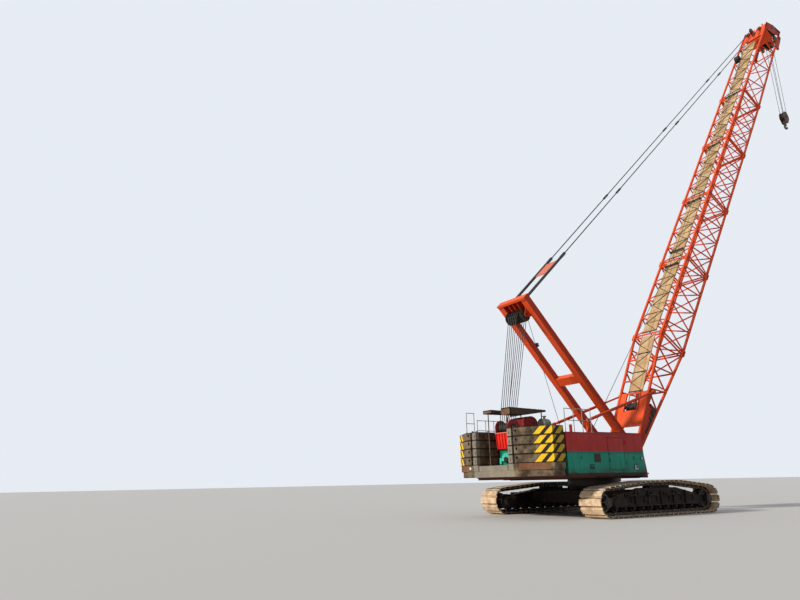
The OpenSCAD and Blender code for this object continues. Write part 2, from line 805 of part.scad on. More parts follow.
function on_boom_xz(t, z) =
  [pivot_x + t * cos(boom_angle) - z * sin(boom_angle),
   pivot_z + t * sin(boom_angle) + z * cos(boom_angle)];
stop_top = on_boom_xz(stop_top_t, stop_top_z);
stop_run = norm(stop_top - stop_base);
stop_tilt = atan2(stop_top.y - stop_base.y, stop_top.x - stop_base.x);
barrel_len = 4150;
rod_r = 48;
rod_eye_half = rod_r + 2;

stop_leg_r = 55;
stop_foot_x = [-2300, 900];
jaw_half = 30;
jaw_t = 26;
jaw_low = stop_base.y - 300;

module stop_supports() {
  color(boom_red) both() union() {
    // jaw plates for the barrel's eye, with the pin through them
    for (k = [-1, 1]) {
      y = stop_y + k * (jaw_half + jaw_t / 2);
      profile([[stop_base.x - 70, jaw_low], [stop_base.x + 70, jaw_low],
               [stop_base.x + 62, stop_base.y + 15], [stop_base.x - 62, stop_base.y + 15]],
              y - jaw_t / 2, y + jaw_t / 2);
      across(stop_base.x, stop_base.y, stop_eye_r, y - jaw_t / 2, y + jaw_t / 2, 32);
    }
    across(stop_base.x, stop_base.y, stop_pin_r, stop_y - jaw_half - jaw_t - 15,
           stop_y + jaw_half + jaw_t + 15, 32);
    // legs from the knot block to their foot plates
    block([stop_base.x - 110, stop_y - 64, jaw_low - 110], [stop_base.x + 110, stop_y + 64, jaw_low + 8]);
    for (x = stop_foot_x) {
      lean = x < stop_base.x ? -40 : 40;
      bar([stop_base.x + lean, stop_y, jaw_low - 60], [x, stop_y, deck_z + 45], stop_leg_r, 8);
      block([x - 130, stop_y - 75, deck_z + fit], [x + 130, stop_y + 75, deck_z + 85]);
    }
    bar([-1850, stop_y, 2740], [-230, stop_y, 2990], 38, 8);
  }
}

module at_stop() {
  translate([stop_base.x, 0, stop_base.y]) rotate([0, -stop_tilt, 0]) children();
}

module along(y, z, r, x0, x1, sides = 32) {
  translate([x0, y, z]) rotate([0, 90, 0]) cylinder(r = r, h = x1 - x0, $fn = sides);
}

module stop_barrels() {
  color(boom_red) both() at_stop() difference() {
    union() {
      across(0, 0, stop_eye_r - 10, stop_y - 24, stop_y + 24, 32);
      along(stop_y, 0, 22, 0, 260, 24);
      along(stop_y, 0, stop_r, 220, barrel_len, 32);
    }
    across(0, 0, stop_pin_r + fit, stop_y - 40, stop_y + 40, 32);
    along(stop_y, 0, rod_r + fit, 320, barrel_len + 10, 32);
  }
}

module stop_rods() {
  color(boom_red) both() at_stop() union() {
    along(stop_y, 0, rod_r, 1700, stop_run - 40, 32);
    across(stop_run, 0, stop_eye_r, stop_y - rod_eye_half, stop_y + rod_eye_half, 32);
  }
}

// Cab

cab_z = deck_z + fit;
cab_y0 = house_y - 40 - cab_w;
cab_y1 = house_y - 40;
cab_front = cab_rear + cab_len;
cab_top = cab_z + cab_h;
sill_z = cab_z + 820;
head_z = cab_top - 160;
post_w = 90;
door_post = cab_rear + 720;
door_edge = cab_rear + 1640;
cab_hinge_x = door_post + door_gap;
cab_hinge_z = [cab_z + 300, head_z - 250];

function cab_side(inset) = [
  [cab_rear + inset, cab_z + inset], [cab_front - 260 - inset, cab_z + inset],
  [cab_front - inset, cab_z + 420 + inset / 2], [cab_front - 30 - inset, head_z],
  [cab_front - 180 - inset, cab_top - inset], [cab_rear + inset, cab_top - inset]];

module cab_body() {
  color(panel_green) union() {
    for (z = cab_hinge_z) hinge_post(cab_hinge_x, cab_y1 + hinge_out, z, -60, cab_y1 - lap);
    cab_shell();
  }
}

module cab_shell() {
  difference() {
    profile(cab_side(0), cab_y0, cab_y1);
    profile(cab_side(cab_wall), cab_y0 + cab_wall, cab_y1 - cab_wall);
    // windscreen, rear, inner side and roof windows
    block([cab_front - 300, cab_y0 + post_w, cab_z + 500], [cab_front + 50, cab_y1 - post_w, head_z - 20]);
    block([cab_rear - 10, cab_y0 + 200, sill_z + 200], [cab_rear + cab_wall + 10, cab_y1 - 200, head_z]);
    block([cab_rear + 200, cab_y0 - 10, sill_z], [cab_front - 330, cab_y0 + cab_wall + 10, head_z]);
    block([cab_rear + 900, cab_y0 + 250, cab_top - cab_wall - 10], [cab_front - 450, cab_y1 - 250, cab_top + 10]);
    // outer side: doorway, and the window behind it
    block([door_post, cab_y1 - cab_wall - 10, cab_z + 120], [door_edge, cab_y1 + 10, head_z + 40]);
    block([cab_rear + 110, cab_y1 - cab_wall - 10, sill_z], [door_post - 90, cab_y1 + 10, head_z]);
  }
}

module cab_glass() {
  // panes seated in the middle of each wall's window
  mid = cab_wall / 2;
  color(glass_tint) union() {
    block([cab_rear + mid - 4, cab_y0 + 200 + fit, sill_z + 200 + fit],
          [cab_rear + mid + 4, cab_y1 - 200 - fit, head_z - fit]);
    block([cab_rear + 200 + fit, cab_y0 + mid - 4, sill_z + fit],
          [cab_front - 330 - fit, cab_y0 + mid + 4, head_z - fit]);
    block([cab_rear + 900 + fit, cab_y0 + 250 + fit, cab_top - mid - 4],
          [cab_front - 450 - fit, cab_y1 - 250 - fit, cab_top - mid + 4]);
    block([cab_rear + 110 + fit, cab_y1 - mid - 4, sill_z + fit],
          [door_post - 90 - fit, cab_y1 - mid + 4, head_z - fit]);
    profile([[cab_front - 28, cab_z + 500 + fit], [cab_front - 20, cab_z + 500 + fit],
             [cab_front - 46, head_z - 20 - fit], [cab_front - 54, head_z - 20 - fit]],
            cab_y0 + post_w + fit, cab_y1 - post_w - fit);
  }
}

module cab_door() {
  color(panel_green) union() {
    difference() {
      block([door_post + door_gap, cab_y1 - 45, cab_z + 120 + door_gap],
            [door_edge - door_gap, cab_y1 - 5, head_z + 40 - door_gap]);
      block([door_post + 90, cab_y1 - 60, sill_z - 200], [door_edge - 90, cab_y1 + 10, head_z - 60]);
    }
    block([door_edge - 150, cab_y1 - 6, sill_z - 330], [door_edge - 110, cab_y1 + 30, sill_z - 260]);
    for (z = cab_hinge_z) {
      hinge_knuckle(cab_hinge_x, cab_y1 + hinge_out, z);
      block([cab_hinge_x + hinge_r - 4, cab_y1 - 6, z],
            [cab_hinge_x + 60, cab_y1 + hinge_out - 4, z + hinge_len]);
    }
  }
}

module cab_door_glass() {
  color(glass_tint)
    block([door_post + 90 + fit, cab_y1 - 29, sill_z - 200 + fit],
          [door_edge - 90 - fit, cab_y1 - 21, head_z - 60 - fit]);
}

module cab_seat() {
  x = cab_rear + 640;
  y = (cab_y0 + cab_y1) / 2;
  color(seat_black) union() {
    block([x - 180, y - 160, cab_z + cab_wall + fit], [x + 180, y + 160, cab_z + 420]);
    block([x - 260, y - 250, cab_z + 400], [x + 270, y + 250, cab_z + 530]);
    translate([x - 250, y - 240, cab_z + 500]) rotate([0, -12, 0]) cube([120, 480, 640]);
    for (side = [-1, 1])
      block([x - 200, y + side * 290 - 40, cab_z + 640], [x + 180, y + side * 290 + 40, cab_z + 700]);
    for (side = [-1, 1])
      block([x - 200, y + side * 270 - 40, cab_z + 420], [x - 140, y + side * 270 + 40, cab_z + 660]);
  }
}

module cab_console() {
  y = (cab_y0 + cab_y1) / 2;
  color(seat_black) union() {
    profile([[cab_front - 520, cab_z + cab_wall + fit], [cab_front - 350, cab_z + cab_wall + fit],
             [cab_front - 300, cab_z + 700], [cab_front - 470, cab_z + 780]], y - 300, y + 300);
    for (side = [-1, 1])
      bar([cab_front - 640, y + side * 160, cab_z + cab_wall + 15],
          [cab_front - 560, y + side * 160, cab_z + 260], 12, 8);
    block([cab_front - 700, y - 220, cab_z + cab_wall + fit], [cab_front - 500, y + 220, cab_z + cab_wall + 30]);
  }
}

// Mast

module on_mast() {
  translate([pivot_x, 0, pivot_z]) rotate([0, mast_angle - 180, 0]) children();
}

link_half_w = 45;
link_pin_r = 30;
mast_lug = [645, 800];
mast_lug_r = 230;
leg_y0 = mast_leg_y - mast_leg_w / 2;
leg_y1 = mast_leg_y + mast_leg_w / 2;
head_box = 760;
mast_axle_t = mast_len - head_box - 60;
mast_axle_r = 70;

module mast() {
  half = mast_leg_d / 2;
  color(boom_red) on_mast() difference() {
    union() {
      both() {
        // leg, tapering to its lug
        profile([[420, -half * 0.75], [1500, -half], [mast_len, -half], [mast_len, half],
                 [1500, half], [420, half * 0.75]], leg_y0, leg_y1);
        across(0, 0, mast_lug_r, mast_lug[0], mast_lug[1], 48);
        block([0, mast_lug[0], -150], [900, mast_lug[1], 150]);
        // ear plates beside the sheave axle
        profile([[mast_axle_t - 420, -half], [mast_len - 300, -half], [mast_axle_t + 60, half + 300],
                 [mast_axle_t - 60, half + 300], [mast_axle_t - 260, half]],
                leg_y0 - 20, leg_y0 + lap);
      }
      // cross beam and head box
      block([4750, -leg_y0 - lap, -half + 20], [5200, leg_y0 + lap, half - 20]);
      block([mast_len - head_box, -leg_y1, -half], [mast_len, leg_y1, -half + 40]);
      block([mast_len - 120, -leg_y1, -half], [mast_len, leg_y1, half + 40]);
      block([mast_len - head_box, -leg_y1, -half], [mast_len - head_box + 60, leg_y1, -20]);
      for (y = [-300, 0, 300])
        block([mast_len - head_box, y - 15, -half], [mast_len, y + 15, half]);
      // lugs for the pendants' link plates
      for (side = [-1, 1]) {
        for (k = [-1, 1])
          translate([mast_len - 290, side * pendant_y + k * (link_half_w + fit + 20), -half - 80])
            cube([260, 40, 164], center = true);
        across(mast_len - 290, -half - 100, link_pin_r, side * pendant_y - link_half_w - 45,
               side * pendant_y + link_half_w + 45, 32);
      }
    }
    across(0, 0, pivot_r + fit, -900, 900, 48);
    across(mast_axle_t, half + 180, mast_axle_r + fit, -leg_y1, leg_y1, 40);
  }
}

module mast_sheaves() {
  count = 8;
  pitch = 2 * (leg_y0 - 80) / count;
  z = mast_leg_d / 2 + 180;
  color(steel_dark) on_mast() union() {
    across(mast_axle_t, z, mast_axle_r, -leg_y0 + 10, leg_y0 - 10, 40);
    for (i = [0:count - 1]) {
      y = (i - (count - 1) / 2) * pitch;
      across(mast_axle_t, z, mast_sheave_r, y - 30, y - 16, 40);
      across(mast_axle_t, z, mast_sheave_r, y + 16, y + 30, 40);
      across(mast_axle_t, z, mast_sheave_r - 45, y - 17, y + 17, 40);
    }
    across(mast_axle_t, z, 120, -leg_y0 + 40, leg_y0 - 40, 32);
  }
}

// Boom

module on_boom() {
  translate([pivot_x, 0, pivot_z]) rotate([0, -boom_angle, 0]) children();
}

half_w = boom_w / 2;
half_d = boom_d / 2;
boom_lug = [820, 1020];
boom_lug_r = 260;
web_plate = [half_w - 15, half_w + 15];
head_t0 = foot_len + 4 * section_len;
joint_len = 200;
joint_half = 100;

// Joint block on the end of a chord
module joint(t, y, z) {
  block([t, y - joint_half, z - joint_half], [t + joint_len, y + joint_half, z + joint_half]);
}

// Lacing of the four faces between t0 and t1
module lacing(t0, t1, bays) {
  step = (t1 - t0) / bays;
  for (i = [0:bays - 1]) {
    a = t0 + i * step;
    m = a + step / 2;
    b = a + step;
    flip = i % 2 == 0 ? 1 : -1;
    for (s = [-1, 1]) {
      bar([a, s * half_w, -flip * half_d], [b, s * half_w, flip * half_d], lacing_r, 6);
      bar([a, -flip * half_w, s * half_d], [b, flip * half_w, s * half_d], lacing_r, 6);
    }
  }
  for (i = [1:bays - 1]) {
    a = t0 + i * step;
    for (s = [-1, 1])
      bar([a + 160, s * half_w, -half_d], [a + 160, s * half_w, half_d], lacing_r - 6, 6);
  }
}

module chords(t0, t1) {
  for (y = [-half_w, half_w], z = [-half_d, half_d])
    bar([t0, y, z], [t1, y, z], chord_r, 12);
}

module end_frame(t) {
  for (s = [-1, 1]) {
    bar([t, -half_w, s * half_d], [t, half_w, s * half_d], frame_bar_r, 6);
    bar([t, s * half_w, -half_d], [t, s * half_w, half_d], frame_bar_r, 6);
  }
}

module boom_section(k) {
  t0 = foot_len + k * section_len;
  t1 = t0 + section_len;
  color(boom_red) on_boom() union() {
    chords(t0, t1);
    for (y = [-half_w, half_w], z = [-half_d, half_d]) {
      joint(t0, y, z);
      joint(t1 - joint_len, y, z);
    }
    end_frame(t0 + joint_half);
    end_frame(t1 - joint_half);
    lacing(t0 + joint_half + 30, t1 - joint_half - 30, section_bays);
  }
}

foot_t = 350;
foot_half = 150;
foot_plate_t = 3000;

function foot_z(t) = foot_half + (half_d - foot_half) * (t - foot_t) / (foot_len - foot_t);

module boom_foot() {
  color(boom_red) on_boom() difference() {
    union() {
      both() {
        for (s = [-1, 1]) {
          bar([foot_t - 200, half_w, s * foot_z(foot_t - 200)], [foot_len - 60, half_w, s * foot_z(foot_len - 60)],
              chord_r, 12);
          bar([foot_len - joint_len, half_w, s * half_d], [foot_len, half_w, s * half_d], chord_r, 12);
          joint(foot_len - joint_len, half_w, s * half_d);
        }
        // side plate and lug
        profile([[0, -foot_z(foot_t) - 40], [foot_plate_t, -foot_z(foot_plate_t)],
                 [foot_plate_t, foot_z(foot_plate_t)], [0, foot_z(foot_t) + 40]],
                web_plate[0], web_plate[1]);
        across(0, 0, boom_lug_r, boom_lug[0], boom_lug[1], 48);
        // side lacing above the plate
        for (i = [0:2]) {
          a = foot_plate_t - 60 + i * 1400;
          b = a + 1400;
          flip = i % 2 == 0 ? 1 : -1;
          bar([a, half_w, -flip * foot_z(a)], [b, half_w, flip * foot_z(b)], lacing_r + 4, 6);
          bar([b, half_w, -foot_z(b)], [b, half_w, foot_z(b)], lacing_r, 6);
        }
        // eye for the boom stop
        across(stop_top_t, stop_top_z, stop_eye_r - 10, half_w, stop_y - rod_eye_half - fit, 32);
        profile([[stop_top_t - 700, stop_top_z - 140], [stop_top_t + 200, stop_top_z - 140],
                 [stop_top_t + 200, stop_top_z + 260], [stop_top_t - 700, stop_top_z + 260]],
                web_plate[0], web_plate[1] + 20);
      }
      // plate between the rear chords with the winch opening
      difference() {
        profile([[1500, foot_z(1500) - 20], [4600, foot_z(4600) - 20],
                 [4600, foot_z(4600) + 10], [1500, foot_z(1500) + 10]], -half_w, half_w);
        block([2500, -420, 0], [3500, 420, 2000]);
      }
      // cross tubes
      for (t = [1000, 4700, 6100, foot_len - joint_half], s = [-1, 1])
        bar([t, -half_w, s * foot_z(t)], [t, half_w, s * foot_z(t)], lacing_r + 8, 6);
      bar([4700, -half_w, foot_z(4700)], [6100, half_w, foot_z(6100)], lacing_r, 6);
      bar([6100, half_w, foot_z(6100)], [foot_len - joint_half, -half_w, half_d], lacing_r, 6);
      bar([4700, half_w, -foot_z(4700)], [6100, -half_w, -foot_z(6100)], lacing_r, 6);
    }
    across(0, 0, pivot_r + fit, -1200, 1200, 48);
  }
}

sheave_t = boom_len - head_sheave_r - 20;
sheave_z = -940;
rear_sheave_z = 250;
head_plate_t = boom_len - 3200;
head_axle_r = 90;
head_end = boom_len - 260;
head_plate_w = 30;
inner_head_y = 325;
guide_t = boom_len - 1640;
guide_z = half_d + 330;
guide_axle_r = 40;
jib_t = boom_len - 1900;
jib_z = -half_d - 130;
jib_r = 40;
jib_half = 60;

// Side view of an outer head plate
head_outline = [
  [head_plate_t, -half_d - 40], [jib_t - 250, -half_d - 140], [sheave_t - 150, sheave_z - 280],
  [head_end, sheave_z - 180], [head_end, rear_sheave_z + 220], [boom_len - 800, half_d - 40],
  [boom_len - 1500, half_d + 60], [head_plate_t, half_d + 40], [head_plate_t + 900, 0]];

// Side view of an inner head plate
inner_outline = [
  [sheave_t - 700, sheave_z - 60], [sheave_t - 150, sheave_z - 280], [head_end, sheave_z - 180],
  [head_end, rear_sheave_z + 220], [boom_len - 800, half_d - 60], [boom_len - 1300, half_d - 40]];

module boom_head() {
  straight = head_plate_t + 400;
  color(boom_red) on_boom() difference() {
    union() {
      chords(head_t0, straight);
      for (y = [-half_w, half_w], z = [-half_d, half_d]) joint(head_t0, y, z);
      end_frame(head_t0 + joint_half);
      end_frame(head_plate_t - 60);
      lacing(head_t0 + joint_half + 30, head_plate_t - 60, section_bays + 1);
      for (y = [-half_w, half_w])
        profile(head_outline, y - head_plate_w / 2, y + head_plate_w / 2);
      for (y = [-inner_head_y, inner_head_y])
        profile(inner_outline, y - head_plate_w / 2, y + head_plate_w / 2);
      // cross plates behind the sheaves
      block([boom_len - 1500, -half_w, half_d - 50], [boom_len - 820, half_w, half_d - 20]);
      block([boom_len - 1460, -half_w, -300], [boom_len - 1420, half_w, half_d - 40]);
      // lugs and pins for the pendants
      for (side = [-1, 1]) {
        for (k = [-1, 1]) {
          y = side * pendant_y + k * (link_half_w + fit + 15);
          profile([[boom_len - 1500, half_d - 40], [boom_len - 1050, half_d - 40],
                   [boom_len - 1150, half_d + 230], [boom_len - 1350, half_d + 230]], y - 15, y + 15);
        }
        across(boom_len - 1250, half_d + 150, link_pin_r, side * pendant_y - link_half_w - 35,
               side * pendant_y + link_half_w + 35, 32);
      }
      // brackets of the guide sheave, on a cross tube of the rear face
      for (y = [-60, 60])
        profile([[guide_t - 260, half_d - 10], [guide_t + 200, half_d - 45], [guide_t + 90, guide_z + 90],
                 [guide_t - 90, guide_z + 90]], y - 15, y + 15);
      bar([guide_t - 180, -half_w, half_d - 10], [guide_t - 180, half_w, half_d - 10], 60, 8);
      // bosses for a jib's foot pins
      for (side = [-1, 1])
        across(jib_t, jib_z, 110, side * half_w - jib_half, side * half_w + jib_half, 40);
    }
    for (z = [sheave_z, rear_sheave_z])
      across(sheave_t, z, head_axle_r + fit, -1200, 1200, 48);
    across(guide_t, guide_z, guide_axle_r + fit, -200, 200, 32);
    across(jib_t, jib_z, jib_r, -1200, 1200, 48);
  }
}

module sheave(t, z, y, r) {
  across(t, z, r, y - 34, y - 18, 48);
  across(t, z, r, y + 18, y + 34, 48);
  across(t, z, r - 60, y - 20, y + 20, 48);
}

module head_sheaves() {
  color(steel_dark) on_boom() {
    for (z = [sheave_z, rear_sheave_z]) union() {
      across(sheave_t, z, head_axle_r, -half_w - 55, half_w + 55, 48);
      across(sheave_t, z, 130, -290, 290, 32);
      for (y = [-220, -110, 0, 110, 220]) sheave(sheave_t, z, y, head_sheave_r);
      for (y = [-620, 620]) sheave(sheave_t, z, y, head_sheave_r);
    }
    union() {
      across(guide_t, guide_z, guide_axle_r, -95, 95, 32);
      sheave(guide_t, guide_z, 0, 300);
    }
  }
}

frame_bar_r = lacing_r + 8;
walk_low = half_d + frame_bar_r + fit;
walk_side = [-220, 280];

module boom_walkway() {
  color(walk_tan) on_boom() union() {
    for (y = walk_side)
      block([4950, y - 15, walk_low], [boom_len - 2100, y + 15, walk_low + 80]);
    for (t = [5050:1200:boom_len - 3300])
      block([t, walk_side[0], walk_low + 40], [t + 1000, walk_side[1], walk_low + 70]);
  }
}

module foot_winch() {
  color(steel_dark) on_boom() union() {
    drum(3000, 60, 430, 200, 300);
    across(3000, 60, 70, -half_w + 15 + fit, half_w - 15 - fit, 32);
  }
}

module guide_rollers() {
  color(steel_dark) on_boom()
    for (t = [head_t0 - section_len + joint_half, head_t0 + joint_half, head_plate_t - 60])
      union() {
        for (y = [-420, 380])
          block([t - 60, y, walk_low], [t + 60, y + 30, walk_low + 210]);
        across(t, walk_low + 160, 55, -430, 420, 24);
      }
}

// Pendants, between the mast's head and the boom's head

function on_mast_xz(t, z) =
  [pivot_x - t * cos(mast_angle) - z * sin(mast_angle),
   pivot_z + t * sin(mast_angle) - z * cos(mast_angle)];
pend_low = on_mast_xz(mast_len - 290, -mast_leg_d / 2 - 100);
pend_high = on_boom_xz(boom_len - 1250, half_d + 150);
pend_run = norm(pend_high - pend_low);
pend_tilt = atan2(pend_high.y - pend_low.y, pend_high.x - pend_low.x);
pend_splits = [0.28, 0.52, 0.74];

module pendants() {
  color(rope_grey) translate([pend_low.x, 0, pend_low.y]) rotate([0, -pend_tilt, 0]) difference() {
    union() {
      both() {
        // link plates, rope and its couplings
        for (k = [0, 1])
          block([k * link_len / 2 - 60, pendant_y - link_half_w, -60],
                [(k + 1) * link_len / 2 + 60, pendant_y + link_half_w, 60]);
        along(pendant_y, 0, pendant_r, link_len, pend_run - 200, 12);
        for (f = pend_splits)
          block([f * pend_run - 260, pendant_y - link_half_w, -50],
                [f * pend_run + 260, pendant_y + link_half_w, 50]);
        block([link_len - 40, pendant_y - link_half_w, -70],
              [link_len + 420, pendant_y + link_half_w, 70]);
        block([pend_run - 500, pendant_y - link_half_w, -60], [pend_run + 60, pendant_y + link_half_w, 60]);
      }
      // spreader plate between the two link bars
      block([link_len - 1500, -pendant_y, -15], [link_len - 250, pendant_y, 15]);
    }
    for (x = [0, pend_run])
      across(x, 0, link_pin_r + fit, -pendant_y - 100, pendant_y + 100, 32);
  }
}

// Hook block under the head sheaves

head_x = on_boom_xz(sheave_t, sheave_z).x;
head_z_abs = on_boom_xz(sheave_t, sheave_z).y;
fall_r = 16;
block_sheave_r = 330;

groove_depth = 40;
fall_y = [-110, 110];
shank_r = 70;
crosshead_top = hook_z - 430;
crosshead_h = 130;
cheek_y = 150;
cheek_t = 40;

// Falls of the hoist rope, from the head's sheaves to the block's
module hook_falls() {
  top_x = head_sheave_r - 60 + fall_r + fit;
  low_x = block_sheave_r - groove_depth + fall_r + fit;
  color(rope_grey)
    for (y = fall_y, side = [-1, 1])
      bar([head_x + side * top_x, y, head_z_abs], [head_x + side * low_x, y, hook_z], fall_r, 8);
}

// Side view of a cheek plate
cheek_outline = [
  [-180, 420], [-380, 120], [-400, -160], [-240, -430], [-150, crosshead_top - crosshead_h - hook_z - 40],
  [150, crosshead_top - crosshead_h - hook_z - 40], [240, -430], [400, -160], [380, 120], [180, 420]];

module hook_block() {
  half = cheek_y + cheek_t;
  color(steel_dark) difference() {
    union() {
      translate([head_x, 0, hook_z]) {
        for (y = [-half, cheek_y])
          profile(cheek_outline, y, y + cheek_t);
        // plate between the sheaves
        profile([[-180, 400], [-300, 100], [-300, -200], [300, -200], [300, 100], [180, 400]], -20, 20);
      }
      // sheaves on their pin
      for (y = fall_y) {
        across(head_x, hook_z, block_sheave_r, y - 34, y - 18, 48);
        across(head_x, hook_z, block_sheave_r, y + 18, y + 34, 48);
        across(head_x, hook_z, block_sheave_r - groove_depth, y - 20, y + 20, 48);
      }
      across(head_x, hook_z, 60, -half - 25, half + 25, 32);
      for (z = [360, -520])
        across(head_x, hook_z + z, 30, -half - 15, half + 15, 24);
      block([head_x - 130, -cheek_y - lap, crosshead_top - crosshead_h],
            [head_x + 130, cheek_y + lap, crosshead_top]);
    }
    // bore that the hook's shank turns in
    translate([head_x, 0, crosshead_top - crosshead_h - 10])
      cylinder(r = shank_r + fit, h = crosshead_h + 20, $fn = 48);
  }
}

hook_c = hook_z - 900;

module hook() {
  inner = 110;
  outer = 230;
  color(steel_dark) union() {
    translate([head_x, 0, hook_c + 200]) cylinder(r = shank_r, h = crosshead_top - hook_c - 190, $fn = 48);
    // nut on the crosshead
    translate([head_x, 0, crosshead_top + fit]) cylinder(r = 110, h = 55, $fn = 6);
    translate([head_x, 55, hook_c]) rotate([90, 0, 0]) linear_extrude(height = 110) difference() {
      union() {
        circle(r = outer, $fn = 48);
        translate([-80, 100]) square([160, 200]);
      }
      circle(r = inner, $fn = 40);
      polygon([[inner * 0.6, 20], [outer + 40, -60], [outer + 40, 260], [inner * 0.6 + 20, 130]]);
    }
  }
}

carbody();
axle_beams();
slew_ring();
track_frame(-track_y);  // track_frame_right
track_frame(track_y);  // track_frame_left
track(-track_y);  // track_right
track(track_y);  // track_left
end_wheels();
travel_drives();
revolving_frame();
housing(-1);  // housing_right
housing(1);  // housing_left
engine_block();
counterweight_base();
counterweight(-1);  // counterweight_right
counterweight(1);  // counterweight_left
winch_frame();
luffing_drum();
hoist_drums();
drum_cover();
air_cleaner();
canopy();
handrails();
walkways();
stop_supports();
cab_body();
cab_glass();
cab_seat();
cab_console();
cab_door();
cab_door_glass();
service_door(-1);  // service_door_right
service_door(1);  // service_door_left
mast();
mast_sheaves();
boom_foot();
boom_section(0);  // boom_section_1
boom_section(1);  // boom_section_2
boom_section(2);  // boom_section_3
boom_section(3);  // boom_section_4
boom_head();
head_sheaves();
boom_walkway();
foot_winch();
guide_rollers();
pendants();
stop_barrels();
stop_rods();
hook_falls();
hook_block();
hook();
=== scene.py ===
import math

import bpy
from mathutils import Matrix, Vector


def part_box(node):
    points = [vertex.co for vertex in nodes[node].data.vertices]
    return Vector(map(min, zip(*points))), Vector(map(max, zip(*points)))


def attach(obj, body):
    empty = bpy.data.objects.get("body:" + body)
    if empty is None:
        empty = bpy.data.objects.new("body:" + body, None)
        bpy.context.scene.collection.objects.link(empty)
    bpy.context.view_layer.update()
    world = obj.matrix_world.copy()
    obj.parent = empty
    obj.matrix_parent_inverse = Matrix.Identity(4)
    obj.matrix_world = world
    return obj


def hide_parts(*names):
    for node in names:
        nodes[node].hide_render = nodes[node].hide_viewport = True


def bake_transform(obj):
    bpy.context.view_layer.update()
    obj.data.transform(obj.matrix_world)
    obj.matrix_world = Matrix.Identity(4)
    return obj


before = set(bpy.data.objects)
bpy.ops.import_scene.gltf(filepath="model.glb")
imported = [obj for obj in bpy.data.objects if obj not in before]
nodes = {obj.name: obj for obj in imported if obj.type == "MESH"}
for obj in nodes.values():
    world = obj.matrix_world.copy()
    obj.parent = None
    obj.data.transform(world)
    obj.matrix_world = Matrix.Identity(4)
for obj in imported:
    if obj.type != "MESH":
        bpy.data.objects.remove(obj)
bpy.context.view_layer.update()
bpy.ops.object.select_all(action="DESELECT")

# Camera: a phone held at eye height on the ground behind the crane's right
# track, looking forwards along the machine and up at the boom.
eye = Vector((-25.31, -22.80, 1.60))
heading = math.radians(58.04)
pitch = math.radians(16.016)
roll = math.radians(1.122)
level_right = Vector((math.sin(heading), -math.cos(heading), 0))
forward = Vector((math.cos(heading) * math.cos(pitch), math.sin(heading) * math.cos(pitch), math.sin(pitch)))
level_up = level_right.cross(forward)
right = level_right * math.cos(roll) - level_up * math.sin(roll)
up = level_up * math.cos(roll) + level_right * math.sin(roll)
lens = bpy.data.cameras.new("photo_camera")
lens.sensor_width = 36
lens.lens = 28.66
lens.clip_end = 2000
camera = bpy.data.objects.new("photo_camera", lens)
bpy.context.scene.collection.objects.link(camera)
camera.matrix_world = Matrix.Translation(eye) @ Matrix((right, up, -forward)).transposed().to_4x4()
bpy.context.scene.camera = camera

# Ground and light: a wide pale floor, an even pale sky and one soft low lamp
# from behind the crane, on its left side, as in the photo.
bpy.context.scene.view_settings.view_transform = "Standard"
bpy.ops.mesh.primitive_plane_add(size=1200, location=(0, 0, -0.002))
floor = bpy.context.object
floor.name = "studio_floor"
bpy.ops.object.light_add(type="SUN")
sun = bpy.context.object
sun_side = math.radians(168)
sun_height = math.radians(27)
sun.rotation_euler = Vector((
    math.cos(sun_side) * math.cos(sun_height),
    math.sin(sun_side) * math.cos(sun_height),
    math.sin(sun_height))).to_track_quat("Z", "Y").to_euler()
sun.data.energy = 3.1
sun.data.angle = math.radians(5)
sun.data.color = (1.0, 0.95, 0.87)
world = bpy.data.worlds.new("pale_sky")
bpy.context.scene.world = world
world.use_nodes = True
sky = world.node_tree
sky.nodes.clear()
rays = sky.nodes.new("ShaderNodeLightPath")
pick = sky.nodes.new("ShaderNodeMixShader")
out = sky.nodes.new("ShaderNodeOutputWorld")
for number, colour, strength in ((1, (0.82, 0.90, 1.0, 1), 0.42), (2, (0.80, 0.84, 0.90, 1), 1.0)):
    glow = sky.nodes.new("ShaderNodeBackground")
    glow.inputs["Color"].default_value = colour
    glow.inputs["Strength"].default_value = strength
    sky.links.new(glow.outputs[0], pick.inputs[number])
seen = rays.outputs["Is Camera Ray"]
for kind in ("Is Glossy Ray", "Is Transmission Ray"):
    either = sky.nodes.new("ShaderNodeMath")
    either.operation = "MAXIMUM"
    sky.links.new(seen, either.inputs[0])
    sky.links.new(rays.outputs[kind], either.inputs[1])
    seen = either.outputs[0]
sky.links.new(seen, pick.inputs[0])
sky.links.new(pick.outputs[0], out.inputs["Surface"])


